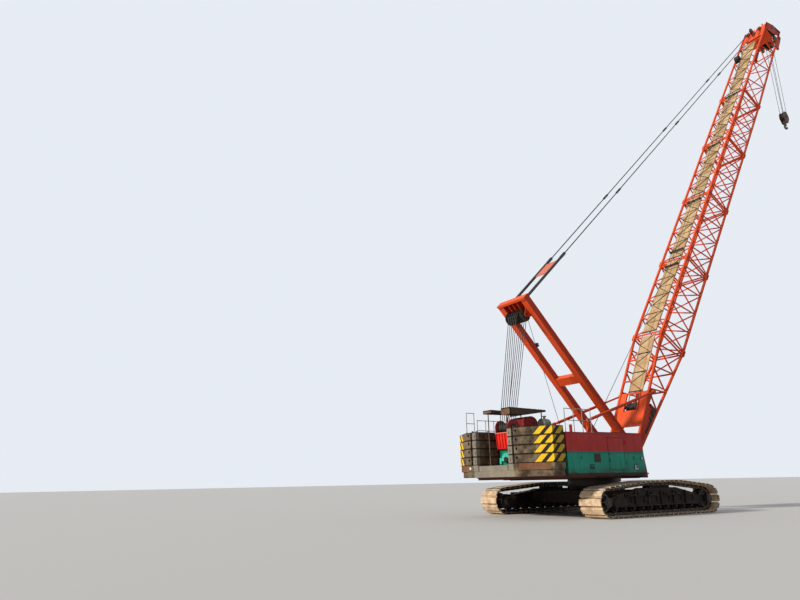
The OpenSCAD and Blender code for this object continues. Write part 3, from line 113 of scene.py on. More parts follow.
class Shade:
    """A socket of a material that takes part in Python sums: each sum adds its Math node."""

    def __init__(self, tree, socket):
        self.tree = tree
        self.socket = socket

    def node(self, kind, settings=None, inputs=None, output=0):
        """Any other node: its type, its settings, then the values or links of its sockets."""
        made = self.tree.nodes.new("ShaderNode" + kind)
        for name, value in (settings or {}).items():
            if name == "stops":
                while len(made.color_ramp.elements) < len(value):
                    made.color_ramp.elements.new(0.5)
                for stop, (place, colour) in zip(made.color_ramp.elements, value):
                    stop.position = place
                    stop.color = (*colour, 1)
            else:
                setattr(made, name, value)
        for name, value in (inputs or {}).items():
            if isinstance(value, Shade):
                self.tree.links.new(value.socket, made.inputs[name])
            else:
                made.inputs[name].default_value = value
        return Shade(self.tree, made.outputs[output])

    def sums(self, operation, first, second):
        return self.node("Math", {"operation": operation}, {0: first, 1: second})

    def __add__(self, other):
        return self.sums("ADD", self, other)

    def __sub__(self, other):
        return self.sums("SUBTRACT", self, other)

    def __rsub__(self, other):
        return self.sums("SUBTRACT", other, self)

    def __mul__(self, other):
        return self.sums("MULTIPLY", self, other)

    def __gt__(self, other):
        return self.sums("GREATER_THAN", self, other)

    def __lt__(self, other):
        return self.sums("LESS_THAN", self, other)

    __radd__ = __add__
    __rmul__ = __mul__

    def axis(self, name):
        """One coordinate of a place."""
        return self.node("SeparateXYZ", None, {0: self}, "XYZ".index(name))

    def ramp(self, low, high):
        """0 below low, 1 above high, and smooth between them."""
        return self.node("MapRange", {"interpolation_type": "SMOOTHSTEP"},
                         {"Value": self, "From Min": low, "From Max": high})

    def stretched(self, x=1, y=1, z=1):
        """A place with each axis scaled, so that a pattern on it is drawn out."""
        return self.node("Mapping", None, {"Vector": self, "Scale": (x, y, z)})

    def noise(self, scale, detail=5.0, rough=0.6):
        inputs = {"Vector": self, "Scale": scale, "Detail": detail, "Roughness": rough}
        return self.node("TexNoise", None, inputs)

    def between(self, first, second):
        """The colour first where this mask is 0 and second where it is 1."""
        def colour(value):
            return value if isinstance(value, Shade) else (*value, 1)
        return self.node("Mix", {"data_type": "RGBA"}, {0: self, 6: colour(first), 7: colour(second)}, 2)

    def bump(self, height, distance=0.01, strength=1.0):
        return self.node("Bump", None, {"Height": height, "Distance": distance, "Strength": strength})


def finish(name, look):
    """A material whose look is worked out by a function of the place on the piece."""
    made = bpy.data.materials.new(name)
    made.use_nodes = True
    tree = made.node_tree
    tree.nodes.clear()
    place = Shade(tree, tree.nodes.new("ShaderNodeTexCoord").outputs["Object"])
    surface = place.node("BsdfPrincipled", None, look(place))
    end = tree.nodes.new("ShaderNodeOutputMaterial")
    tree.links.new(surface.socket, end.inputs["Surface"])
    return made


def coat(material, *names):
    """Gives CAD nodes their material."""
    for name in names:
        nodes[name].data.materials.clear()
        nodes[name].data.materials.append(material)


def concrete(place):
    return {"Base Color": (0.62, 0.60, 0.57, 1), "Roughness": 0.9}


floor.data.materials.append(finish("pale_floor", concrete))

# Track shoes: cast steel plates, each hinged to the next by a pin through the
# links on its inner side. They run round the end wheels and over the crest of
# the track frame, scoured and caked with pale dust outside, greasy at the sides.
shoe_count = 52
shoe_half = 0.6
shoe_rise = 0.13
shoe_play = 0.030
pin_r = 0.51
wheel_x = 3.45
track_y = 3.3
crest = Vector((1.3, 1.37)), Vector((-0.7, 1.37))
hubs = Vector((wheel_x, pin_r + shoe_rise)), Vector((-wheel_x, pin_r + shoe_rise))


def ray(angle):
    """One metre in a side view, at an angle over the level."""
    return Vector((math.cos(angle), math.sin(angle)))


def touch(place, hub, side):
    """The angle at which a straight run from a place meets the pin line round a hub."""
    span = place - hub
    return math.atan2(span.y, span.x) + side * math.acos(pin_r / span.length)


def straight(start, end):
    return (end - start).length, lambda way: start + (end - start).normalized() * way


def around(hub, angle, turn):
    return pin_r * turn, lambda way: hub + pin_r * ray(angle + way / pin_r)


front_turn = touch(crest[0], hubs[0], -1)
rear_turn = touch(crest[1], hubs[1], 1)
front_touch = hubs[0] + pin_r * ray(front_turn)
rear_touch = hubs[1] + pin_r * ray(rear_turn)
stretches = [
    straight(Vector((-wheel_x, shoe_rise)), Vector((wheel_x, shoe_rise))),
    around(hubs[0], -math.pi / 2, front_turn + math.pi / 2),
    straight(front_touch, crest[0]),
    straight(*crest),
    straight(crest[1], rear_touch),
    around(hubs[1], rear_turn, 1.5 * math.pi - rear_turn)]
shoe_pitch = sum(length for length, point in stretches) / shoe_count


def pin_place(number):
    """Where a pin lies on the loop, counted from the rear of the bottom run."""
    way = number % shoe_count * shoe_pitch
    for length, point in stretches:
        if way < length:
            return point(way)
        way -= length
    return stretches[0][1](0)


def shoe_place(number, y):
    """The matrix that sets a shoe between its pins, its outer face outwards."""
    low, high = pin_place(number), pin_place(number + 1)
    way = (high - low).normalized()
    columns = Vector((way.x, 0, way.y)), Vector((0, -1, 0)), Vector((way.y, 0, -way.x))
    return Matrix.Translation((low.x, y, low.y)) @ Matrix(columns).transposed().to_4x4()


def soften(made, edge, steps=1):
    """Eases the sharp edges of a piece."""
    bpy.context.view_layer.objects.active = made
    turn = made.modifiers.new("eased", "BEVEL")
    turn.width = edge
    turn.segments = steps
    bpy.ops.object.modifier_apply(modifier="eased")
    return made


def block(low, high, edge=0.0):
    """A plate or block from its low corner to its high corner, with eased edges."""
    low, high = Vector(low), Vector(high)
    bpy.ops.mesh.primitive_cube_add(size=1, location=(low + high) / 2)
    made = bpy.context.object
    made.scale = high - low
    bpy.ops.object.transform_apply(location=True, rotation=True, scale=True)
    return soften(made, edge) if edge else made


def rod(start, end, radius, sides=12):
    """A round bar from one end to the other."""
    start, end = Vector(start), Vector(end)
    along = end - start
    bpy.ops.mesh.primitive_cylinder_add(
        vertices=sides, radius=radius, depth=along.length, location=(start + end) / 2,
        rotation=along.to_track_quat("Z", "Y").to_euler())
    bpy.ops.object.transform_apply(location=True, rotation=True, scale=True)
    return bpy.context.object


def pick_faces(made, test):
    """Edit mode, with only the faces that pass the test selected."""
    bpy.ops.object.mode_set(mode="EDIT")
    bpy.ops.mesh.select_mode(type="FACE")
    bpy.ops.mesh.select_all(action="DESELECT")
    bpy.ops.object.mode_set(mode="OBJECT")
    for face in made.data.polygons:
        face.select = test(face)
    bpy.ops.object.mode_set(mode="EDIT")


def sink(made, test, border, depth):
    """A shallow recess, or with a negative depth a raised pad, within the faces that pass the test."""
    pick_faces(made, test)
    bpy.ops.mesh.inset(thickness=border, depth=-depth)
    bpy.ops.object.mode_set(mode="OBJECT")
    return made


def copied(part, moves):
    """More of the same part, each with a mesh of its own, at the places that the matrices give."""
    made = []
    for move in moves:
        twin = part.copy()
        twin.data = part.data.copy()
        twin.data.transform(move)
        if move.determinant() < 0:
            twin.data.flip_normals()
        bpy.context.scene.collection.objects.link(twin)
        made.append(twin)
    return made


def shift(x=0.0, y=0.0, z=0.0):
    return Matrix.Translation((x, y, z))


def joined(parts):
    """Welds parts into one mesh."""
    bpy.ops.object.select_all(action="DESELECT")
    for part in parts:
        part.select_set(True)
    bpy.context.view_layer.objects.active = parts[0]
    if len(parts) > 1:
        bpy.ops.object.join()
    return parts[0]


def assembled(name, parts, material, body, place=Matrix()):
    """Welds parts into one piece at its place, paints it and lets it ride on its body."""
    piece = joined(parts)
    piece.data.transform(place)
    piece.name = name
    piece.data.name = name
    piece.data.materials.clear()
    piece.data.materials.append(material)
    bpy.ops.object.shade_smooth_by_angle(angle=math.radians(35))
    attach(piece, body)
    bpy.ops.object.select_all(action="DESELECT")
    return piece


def dusty_shoes(place):
    faces = place.node("TexCoord", output=1)
    sideways = faces.axis("Y")
    side = (sideways * sideways).ramp(0.55, 0.8)
    upwards = faces.axis("Z").ramp(0.55, 0.95) * place.axis("Z").ramp(0.9, 1.15)
    caked = place.noise(3.2, 8, 0.7).ramp(0.36, 0.62)
    dents = place.noise(14, 6).ramp(0.60, 0.72)
    caked_and_sunlit = caked.between((0.50, 0.33, 0.19), (0.78, 0.58, 0.37))
    caked_and_sunlit = (dents * 0.55).between(caked_and_sunlit, (0.13, 0.075, 0.04))
    settled = caked.between((0.12, 0.10, 0.085), (0.30, 0.26, 0.22))
    colour = upwards.between(caked_and_sunlit, settled)
    oily = (caked * dents).between((0.012, 0.009, 0.007), (0.10, 0.07, 0.045))
    colour = side.between(colour, oily)
    relief = place.noise(22, 8, 0.7) * 1.5 + dents * 2.0 + place.noise(90, 4)
    return {"Base Color": colour, "Roughness": 0.95 - side * 0.3,
            "Normal": place.bump(relief, 0.006, 0.7)}


shoe_steel = finish("track_shoes", dusty_shoes)
shoe = block((shoe_play, -shoe_half, 0.045), (shoe_pitch - shoe_play, shoe_half, shoe_rise), 0.014)
sink(shoe, lambda face: face.normal.z > 0.99 and face.area > 0.2, 0.035, 0.007)
chain = [shoe, block((0.004, -shoe_half + 0.03, 0.03), (shoe_pitch - 0.004, shoe_half - 0.03, 0.05))]
for side in (-1, 1):
    chain.append(block((0.03, side * 0.17 - 0.055, -0.085), (shoe_pitch - 0.03, side * 0.17 + 0.055, 0.04)))
chain.append(rod((0, -0.228, -0.02), (0, 0.228, -0.02), 0.028, 8))
shoe = joined(chain)
for side, name in ((-1, "right"), (1, "left")):
    run = copied(shoe, [shoe_place(number, side * track_y) for number in range(shoe_count)])
    track = assembled("track_chain_" + name, run, shoe_steel, "undercarriage")
    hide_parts("track_" + name)
bpy.data.objects.remove(shoe)

# Undercarriage: welded box beams and track frames, painted black and long since
# covered in soot and dust, with cast end wheels, rollers and a toothed ring.
hub_face = 3.778
frame_face = track_y + 0.32


def sooty(place):
    dust = place.noise(2.2, 8, 0.7).ramp(0.50, 0.74)
    flat = place.node("TexCoord", output=1).axis("Z").ramp(0.6, 0.95)
    colour = (dust * 0.55).between((0.016, 0.011, 0.009), (0.13, 0.09, 0.06))
    colour = (flat * place.noise(5, 6).ramp(0.2, 0.6) * 0.8).between(colour, (0.24, 0.18, 0.13))
    scale = place.noise(18, 8).ramp(0.62, 0.72)
    colour = (scale * 0.5).between(colour, (0.10, 0.035, 0.015))
    return {"Base Color": colour, "Roughness": dust * 0.2 + 0.7, "Specular IOR Level": 0.2,
            "Normal": place.bump(place.noise(30, 6) + scale, 0.004, 0.6)}


def greasy_steel(place):
    tone = place.noise(5, 7).ramp(0.35, 0.75)
    colour = tone.between((0.016, 0.013, 0.012), (0.075, 0.06, 0.05))
    brown = place.noise(11, 8).ramp(0.58, 0.74)
    colour = (brown * 0.6).between(colour, (0.11, 0.045, 0.02))
    return {"Base Color": colour, "Roughness": tone * 0.3 + 0.4, "Metallic": 0.3,
            "Normal": place.bump(place.noise(50, 6), 0.002, 0.5)}


black = finish("undercarriage_black", sooty)
steel = finish("greasy_steel", greasy_steel)
coat(black, "carbody", "axle_beams", "track_frame_right", "track_frame_left", "travel_drives")
coat(steel, "slew_ring", "end_wheels")
for side, name in ((-1, "right"), (1, "left")):
    # covers bolted to the outer side of the frame, with a rib between each pair
    face = side * frame_face
    panels = []
    near, far = sorted((face, face + side * 0.05))
    rib_near, rib_far = sorted((face, face + side * 0.07))
    for x in (-2.02, -1.16, -0.30, 0.56, 1.42):
        panels.append(block((x - 0.24, near, 0.86), (x + 0.24, far, 1.02), 0.008))
        panels.append(block((x + 0.40, rib_near, 0.50), (x + 0.46, rib_far, 1.06), 0.008))
        panels += [rod((x + k * 0.2, face, 0.94), (x + k * 0.2, face + side * 0.07, 0.94), 0.016, 6)
                   for k in (-1, 1)]
    # grease pipe along the rollers
    panels.append(rod((-2.6, face + side * 0.03, 0.455), (2.6, face + side * 0.03, 0.455), 0.014, 8))
    assembled("frame_covers_" + name, panels, black, "undercarriage")
    # bolts and the middle boss on the hub caps
    caps = []
    for x in (-wheel_x, wheel_x):
        middle = Vector((x, side * hub_face, pin_r + shoe_rise))
        out = Vector((0, side * 0.025, 0))
        caps.append(soften(rod(middle - out * 2, middle + out, 0.08, 24), 0.008))
        for turn in range(10):
            spoke = 0.155 * ray(turn * math.tau / 10)
            seat = middle + Vector((spoke.x, 0, spoke.y))
            caps.append(rod(seat - out, seat + out * 0.9, 0.02, 6))
    assembled("hub_bolts_" + name, caps, steel, "undercarriage")

# Revolving frame and drum cover: welded plate in dark red, dusty on top and
# streaked with oil below the winches.
grime = (0.030, 0.019, 0.013)
rust = (0.17, 0.055, 0.02)


def dark_red(place):
    faded = place.noise(1.3).ramp(0.40, 0.72)
    dirt = place.stretched(1, 1, 0.3).noise(2.4, 6).ramp(0.45, 0.75)
    colour = faded.between((0.34, 0.022, 0.018), (0.47, 0.06, 0.045))
    colour = (dirt * 0.6).between(colour, grime)
    low = 1 - place.axis("Z").ramp(1.60, 1.92)
    edge = (place.axis("Z") < 2.10) * (place.axis("Y") * place.axis("Y") > 8.6)
    colour = low.sums("MAXIMUM", low * 0.92, edge * 0.92).between(colour, (0.016, 0.026, 0.016))
    return {"Base Color": colour, "Roughness": faded * 0.2 + 0.5, "Specular IOR Level": 0.2,
            "Normal": place.bump(place.noise(60, 4) + dirt, 0.003, 0.4)}


dark_paint = finish("dark_red_paint", dark_red)
coat(dark_paint, "revolving_frame")

# Machinery housings: folded sheet on a frame, green below a dark red band, with
# rain streaks, chalky patches and dirt gathered along the lower edge.
band_z = 2.76
house_y = 3.05
house_x = (-4.85, 0.05)
house_roof = 3.56
house_joints = (-4.13, -2.33, -1.14, -0.53)


def housing_paint(place):
    height = place.axis("Z")
    upper = height > band_z
    faded = place.noise(0.8).ramp(0.40, 0.75)
    streaks = place.stretched(1, 1, 0.05).noise(6, 6).ramp(0.52, 0.80)
    lower = faded.between((0.002, 0.235, 0.15), (0.006, 0.30, 0.20))
    higher = faded.between((0.40, 0.016, 0.014), (0.47, 0.035, 0.028))
    colour = upper.between(lower, higher)
    colour = (streaks * 0.30).between(colour, grime)
    low = 1 - height.ramp(1.84, 2.22)
    colour = (low * place.noise(4, 7).ramp(0.25, 0.65) * 0.8).between(colour, (0.030, 0.026, 0.016))
    under_band = (height > 2.66) * (height < 2.765)
    colour = (under_band * 0.35).between(colour, grime)
    roof = place.node("TexCoord", output=1).axis("Z").ramp(0.8, 0.95)
    colour = (roof * 0.7).between(colour, (0.16, 0.12, 0.09))
    chips = place.noise(16, 8).ramp(0.67, 0.72)
    colour = (chips * 0.7).between(colour, rust)
    # dark blank plate on the green panel
    along, out = place.axis("X"), place.axis("Y")
    plate = (along > -3.232) * (along < -2.828) * (height > 2.298) * (height < 2.662) * (out * out > 9.305)
    colour = plate.between(colour, (0.028, 0.012, 0.012))
    dents = place.noise(1.6, 2).ramp(0.3, 0.7)
    return {"Base Color": colour, "Roughness": streaks * 0.25 + 0.42, "Specular IOR Level": 0.25,
            "Normal": place.bump(dents * 4.0 + place.noise(40, 4) * 0.5 - chips * 0.5, 0.004, 0.5)}


def worn_black(place):
    dust = place.noise(7, 6).ramp(0.45, 0.75)
    return {"Base Color": (dust * 0.5).between((0.012, 0.012, 0.013), (0.10, 0.08, 0.06)),
            "Roughness": 0.6, "Normal": place.bump(place.noise(80, 3), 0.001, 0.5)}


def lamp_glass(place):
    ribs = place.node("TexWave", {"bands_direction": "X"}, {"Vector": place, "Scale": 12.0}, 1)
    return {"Base Color": place.noise(6, 4).ramp(0.3, 0.7).between((0.55, 0.55, 0.50), (0.80, 0.80, 0.76)),
            "Roughness": 0.15, "Normal": place.bump(ribs, 0.002, 0.6)}


panel_paint = finish("housing_paint", housing_paint)
rubber = finish("black_rubber", worn_black)
lamp_white = finish("lamp_glass", lamp_glass)
coat(panel_paint, "housing_right", "housing_left", "service_door_right", "service_door_left",
     "cab_body", "cab_door")
for side, name in ((-1, "right"), (1, "left")):
    face = side * house_y

    def on_wall(x0, x1, z0, z1, depth, edge=0.0, start=0.0):
        """A flat part that stands out from the housing's outer wall."""
        near, far = sorted((face + side * start, face + side * (start + depth)))
        return block((x0, near, z0), (x1, far, z1), edge)

    # cover strips on the panel joints, and rivets along them
    strips = [on_wall(x - 0.022, x + 0.022, 1.90, z, 0.006, 0.002)
              for x, z in zip(house_joints, (3.54, 1.938, 1.938, 3.54))]
    strips.append(on_wall(house_x[0], house_x[1], house_roof - 0.035, house_roof + 0.004, 0.02, 0.006))
    strips.append(on_wall(house_x[0], house_x[1], 1.858, 1.90, 0.012, 0.004))
    rivet = rod((0, face, 0), (0, face + side * 0.009, 0), 0.011, 6)
    places = [(house_x[0] + 0.06 + i * 0.12, z) for i in range(40) for z in (2.72, 2.80, 3.50)]
    places = [(x, z) for x, z in places if not (-2.36 < x < -1.12 and z < 3.42)]
    strips += copied(rivet, [shift(x=x, z=z) for x, z in places])
    bpy.data.objects.remove(rivet)
    assembled("panel_trim_" + name, strips, panel_paint, "superstructure")
    # latches, lamp and its cage in black
    small = [on_wall(x - 0.02, x + 0.02, 2.42, 2.56, 0.02, 0.006) for x in (-4.02, -0.66)]
    small.append(on_wall(-0.20, -0.10, 2.40, 2.52, 0.035, 0.012))
    small += [on_wall(x, x + 0.09, 2.04, 2.16, 0.010, 0.003) for x in (-3.54, -3.36, -0.72, -0.55)]
    assembled("latches_" + name, small, rubber, "superstructure")
    assembled("front_lamp_" + name, [on_wall(-0.185, -0.115, 2.415, 2.505, 0.012, 0.004, 0.035)],
              lamp_white, "superstructure")
    assembled("blank_label_" + name, [on_wall(-0.62, -0.44, 1.98, 2.17, 0.004, 0.001)],
              lamp_white, "superstructure")

# Door seals and stays: black rubber beads round the service doors, which ride
# with their doors and close against the frame.
for side, name in ((-1, "right"), (1, "left")):
    low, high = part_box("service_door_" + name)
    face = side * (house_y + 0.005)
    edges = []
    for x0, x1, z0, z1 in ((low[0] + 0.02, low[0] + 0.045, low[2] + 0.02, high[2] - 0.02),
                           (high[0] - 0.13, high[0] - 0.105, low[2] + 0.02, high[2] - 0.02),
                           (low[0] + 0.02, high[0] - 0.105, low[2] + 0.02, low[2] + 0.045),
                           (low[0] + 0.02, high[0] - 0.105, high[2] - 0.045, high[2] - 0.02)):
        near, far = sorted((face, face + side * 0.006))
        edges.append(block((x0, near, z0), (x1, far, z1), 0.002))
    # stay
    near, far = sorted((face, face + side * 0.02))
    edges.append(block((low[0] + 0.07, near, 2.62), (low[0] + 0.13, far, 2.68), 0.004))
    assembled("door_bead_" + name, edges, rubber, "service_door_" + name)

# Counterweights: rough cast slabs gone grey-brown, stacked four high on a base,
# their outer corners striped in yellow and black paint that is flaking off.
stack_z = 2.301
plate_pitch = 0.3785
rear_x = -6.4
corner_y = 1.82
side_x = -5.75
side_y = 3.2
stack_gap = 1.1
chamfer_len = math.hypot(side_x - rear_x, side_y - corner_y)


def cast_iron(place):
    x, y, height = place.axis("X"), place.axis("Y"), place.axis("Z")
    out = y.node("Math", {"operation": "ABSOLUTE"}, {0: y})
    tone = place.noise(1.9, 8, 0.7).ramp(0.34, 0.68)
    colour = tone.between((0.042, 0.028, 0.017), (0.25, 0.185, 0.115))
    moss = place.noise(2.7, 5).ramp(0.58, 0.75)
    colour = (moss * 0.5).between(colour, (0.11, 0.12, 0.035))
    rusty = place.noise(5, 8).ramp(0.56, 0.74)
    colour = (rusty * 0.7).between(colour, rust)
    inner = (out < stack_gap + 0.27) * (x < rear_x + 0.2)
    colour = (inner * 0.6).between(colour, (0.34, 0.30, 0.24))
    base = (height < stack_z - 0.002) * (height > 2.032) * (out > corner_y - 0.1) * (out < 3.0)
    colour = (base * 0.65).between(colour, (0.24, 0.085, 0.035))
    # way round the outline from the rear corner, and height within a slab
    on_side = x > side_x + 0.01
    along = (1 - on_side) * ((out - corner_y) * (chamfer_len / (side_y - corner_y))) \
        + on_side * (x - side_x + chamfer_len)
    level = (height - stack_z) * (1 / plate_pitch)
    step = level.node("Math", {"operation": "FRACT"}, {0: level})
    lean = along - step * 0.376
    wave = (lean - 0.63) * (1 / 0.50)
    phase = wave.node("Math", {"operation": "FRACT"}, {0: wave})
    yellow = phase < 0.58
    painted = (lean > 0.60) * (out > corner_y + 0.02) * (height > stack_z)
    worn = place.noise(7, 8, 0.7).ramp(0.60, 0.70)
    keep = painted * (1 - worn * 0.75)
    # painted shade: the yellow is painted full bright on the sunlit chamfer and duller on the side faces, as
    # if those faces lay in shade
    caked_and_sunlit = (1 - on_side) * 0.55 + 0.45
    lit_and_shaded_yellow = caked_and_sunlit.between((0.22, 0.15, 0.035), (0.92, 0.56, 0.02))
    stripes = yellow.between((0.020, 0.012, 0.008), lit_and_shaded_yellow)
    colour = keep.between(colour, stripes)
    seams = (step < 0.10) + (step > 0.92)
    colour = (seams * (height > stack_z) * 0.8).between(colour, (0.010, 0.008, 0.006))
    relief = place.noise(9, 8, 0.7) * 3.0 + place.noise(45, 5) - worn * painted * 0.4
    return {"Base Color": colour, "Roughness": 0.88 - keep * 0.25, "Specular IOR Level": 0.2,
            "Normal": place.bump(relief, 0.016, 0.75)}


iron = finish("counterweight_iron", cast_iron)
coat(iron, "counterweight_base", "counterweight_right", "counterweight_left")
stack_top = stack_z + 4 * plate_pitch
rod_x = rear_x + 0.10


def hoop(middle, rotation, major, minor, around=20, sides=6):
    """A closed ring of round bar."""
    bpy.ops.mesh.primitive_torus_add(location=middle, rotation=rotation, major_radius=major,
                                     minor_radius=minor, major_segments=around, minor_segments=sides)
    bpy.ops.object.transform_apply(location=True, rotation=True, scale=True)
    return bpy.context.object


def cut_below(made, z, fill=True):
    """Cuts away what lies below a height."""
    bpy.ops.object.mode_set(mode="EDIT")
    bpy.ops.mesh.select_all(action="SELECT")
    bpy.ops.mesh.bisect(plane_co=(0, 0, z), plane_no=(0, 0, 1), clear_inner=True, use_fill=fill)
    bpy.ops.object.mode_set(mode="OBJECT")
    return made


for side, name in ((-1, "right"), (1, "left")):
    middle = side * (stack_gap + 0.33)

    def upright(low, high, radius, sides):
        return rod((rod_x, middle, low), (rod_x, middle, high), radius, sides)

    # hanging rod in its slot, with a nut and washer on top and a pin in each slab
    parts = [upright(2.31, stack_top + 0.06, 0.028, 12),
             upright(stack_top + 0.004, stack_top + 0.020, 0.062, 16),
             soften(upright(stack_top + 0.02, stack_top + 0.055, 0.05, 6), 0.004)]
    for slab in range(4):
        z = stack_z + (slab + 0.5) * plate_pitch
        parts.append(rod((rear_x + 0.02, middle - 0.062, z), (rear_x + 0.02, middle + 0.062, z), 0.02, 10))
        # ring in the lifting hole
        hole = rear_x + 0.004, side * (stack_gap + 0.55), stack_z + slab * plate_pitch + 0.234
        parts.append(hoop(hole, (0, math.pi / 2, 0), 0.062, 0.008))
    assembled("hanging_rods_" + name, parts, steel, "superstructure")
    # lifting eyes on the top slab: bent bar, welded on
    loops = []
    for x, y in ((-6.05, 1.45), (-5.35, 1.45), (-5.35, 2.85), (-5.75, 2.6)):
        bent = hoop((x, side * y, stack_top + 0.002), (math.pi / 2, 0, 0.3), 0.075, 0.016, 20, 8)
        loops.append(cut_below(bent, stack_top))
    assembled("lifting_eyes_" + name, loops, steel, "superstructure")

# Tail lamp: a small white work lamp on a bracket at the left of the base, with a
# pressed shell and a ribbed lens.
shell = soften(rod((-6.36, 1.62, 2.17), (-6.395, 1.62, 2.17), 0.07, 24), 0.008, 2)
assembled("tail_lamp", [shell], lamp_white, "superstructure")

# Luffing winch: a bright red casing with two round-topped cheeks round the drum,
# on a green block with a pale green arch over its gear; paint bleached on top.
winch_floor, lip_z = 3.0, 3.7
luff_x, luff_z = -5.40, 3.95
cheek_r, cheek_y = 0.36, 0.43


def winch_paint(place):
    height = place.axis("Z")
    faded = place.noise(1.6).ramp(0.45, 0.75)
    colour = faded.between((0.76, 0.014, 0.007), (0.80, 0.055, 0.03))
    sun_bleached = height.ramp(3.85, 4.3) * place.noise(4, 6).ramp(0.25, 0.6)
    colour = (sun_bleached * 0.6).between(colour, (0.42, 0.16, 0.12))
    lip = (height > 3.668) * (height < 3.735) * (place.axis("X") < luff_x - 0.32)
    colour = (lip * 0.5).between(colour, (0.86, 0.28, 0.22))
    # painted shade: faces turned to either side are painted a darker red, as if in shade
    side = place.node("TexCoord", output=1).axis("Y")
    colour = ((side * side).ramp(0.6, 0.9) * 0.55).between(colour, (0.30, 0.022, 0.018))
    dirt = place.stretched(1, 1, 0.3).noise(5, 6).ramp(0.52, 0.78)
    colour = (dirt * 0.5).between(colour, grime)
    green = height < winch_floor - 0.002
    colour = green.between(colour, dirt.between((0.004, 0.20, 0.12), (0.012, 0.10, 0.065)))
    return {"Base Color": colour, "Roughness": faded * 0.2 + 0.42, "Specular IOR Level": 0.25,
            "Normal": place.bump(place.noise(40, 4) + dirt, 0.003, 0.4)}


def pale_green(place):
    dirt = place.noise(8, 6).ramp(0.5, 0.75)
    return {"Base Color": (dirt * 0.6).between((0.05, 0.62, 0.42), (0.03, 0.10, 0.07)),
            "Roughness": 0.5, "Normal": place.bump(place.noise(60, 4), 0.002, 0.4)}


def cut_plate(points, y0, y1, edge=0.0):
    """A plate cut to a side view with no hollows: its corners in order, then its two sides."""
    xs, zs = [x for x, z in points], [z for x, z in points]
    made = block((min(xs), y0, min(zs)), (max(xs), y1, max(zs)))
    middle = Vector((sum(xs) / len(xs), sum(zs) / len(zs)))
    bpy.ops.object.mode_set(mode="EDIT")
    for (x0, z0), (x1, z1) in zip(points, points[1:] + points[:1]):
        out = Vector((z1 - z0, x0 - x1)).normalized()
        if out.dot(middle - Vector((x0, z0))) > 0:
            out = -out
        bpy.ops.mesh.select_all(action="SELECT")
        bpy.ops.mesh.bisect(plane_co=(x0, 0, z0), plane_no=(out.x, 0, out.y), clear_outer=True, use_fill=True)
    bpy.ops.object.mode_set(mode="OBJECT")
    return soften(made, edge) if edge else made


def upright_plate(points, y, half, edge=0.0):
    """A cut plate by its middle place across and half its thickness."""
    return cut_plate(points, y - half, y + half, edge)


winch_red = finish("winch_red", winch_paint)


def from_drum(x, y, z):
    """A place whose way along the machine is given from the drum's axis."""
    return luff_x + x, y, z


def leaning(points, y0, y1):
    """A plate whose corners are given from the drum's axis."""
    return cut_plate([(luff_x + x, z) for x, z in points], y0, y1)


def on_circle(radius, count=8):
    """Places round a shaft, as steps in x or y and in z."""
    return [radius * ray(i * math.tau / count) for i in range(count)]


round_top = [(luff_x + cheek_r * ray(math.radians(turn)).x, luff_z + cheek_r * ray(math.radians(turn)).y)
             for turn in range(-16, 200, 12)]
cheek = [(luff_x - 0.28, winch_floor), (luff_x + 0.28, winch_floor)] + round_top
casing = [upright_plate(cheek, y, 0.02, 0.006) for y in (-cheek_y, cheek_y)]
for x0, x1, lean in ((-0.28, -0.24, -0.06), (0.24, 0.28, 0.06)):
    casing.append(leaning([(x0, winch_floor), (x1, winch_floor), (x1 + lean, lip_z), (x0 + lean, lip_z)],
                          -0.412, 0.412))
casing.append(block(from_drum(-0.388, -0.46, 3.67), from_drum(-0.30, 0.46, 3.73), 0.012))
casing.append(block(from_drum(-0.28, -0.45, 3.0), from_drum(0.28, 0.45, 3.04), 0.006))
casing += [leaning([(-0.325, 3.03), (-0.26, 3.03), (-0.32, 3.68), (-0.375, 3.68)], y - 0.012, y + 0.012)
           for y in (-0.38, -0.19, 0.0, 0.19, 0.38)]
# green block with two upright bars
casing.append(block(from_drum(-0.11, -0.44, 2.255), from_drum(0.32, 0.44, 3.0), 0.015))
casing += [block(from_drum(-0.15, y - 0.02, 2.255), from_drum(-0.10, y + 0.02, 2.96), 0.008)
           for y in (-0.41, 0.41)]
casing = assembled("winch_casing", casing, winch_red, "superstructure")
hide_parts("winch_frame")
# rope drum: flanges, shaft and the windings of the luffing rope
winding = soften(rod((luff_x, -0.014, luff_z), (luff_x, 0.014, luff_z), 0.215, 28), 0.009)
turns = copied(winding, [shift(y=-0.364 + i * 0.028) for i in range(27)])
bpy.data.objects.remove(winding)
turns += [soften(rod((luff_x, y0, luff_z), (luff_x, y1, luff_z), 0.29, 40), 0.006)
          for y0, y1 in ((-0.40, -0.378), (0.378, 0.40))]
turns.append(rod((luff_x, -0.475, luff_z), (luff_x, 0.475, luff_z), 0.06, 20))
drum = assembled("luffing_rope_drum", turns, steel, "superstructure")
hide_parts("luffing_drum")
coat(steel, "hoist_drums", "engine_block")
# arch over the gear: a half disc with a sunk face, on two brackets
light_green = finish("arch_green", pale_green)
arch_z = 2.52
arch = cut_below(rod(from_drum(-0.185, 0, arch_z), from_drum(-0.115, 0, arch_z), 0.31, 48), arch_z - 0.06)
sink(arch, lambda face: face.normal.x < -0.99, 0.085, 0.045)
soften(arch, 0.004)
brackets = [arch] + [block(from_drum(-0.20, y - 0.06, 2.32), from_drum(-0.115, y + 0.06, 2.60), 0.01)
                     for y in (-0.37, 0.37)]
assembled("gear_arch", brackets, light_green, "superstructure")
gear = [soften(rod(from_drum(-0.18, 0, arch_z), from_drum(-0.222, 0, arch_z), 0.13, 32), 0.01),
        soften(rod(from_drum(-0.222, 0, arch_z), from_drum(-0.24, 0, arch_z), 0.05, 16), 0.004)]
gear += [rod(from_drum(-0.22, y, arch_z + z), from_drum(-0.234, y, arch_z + z), 0.012, 6)
         for y, z in on_circle(0.095)]
assembled("winch_gear", gear, steel, "superstructure")
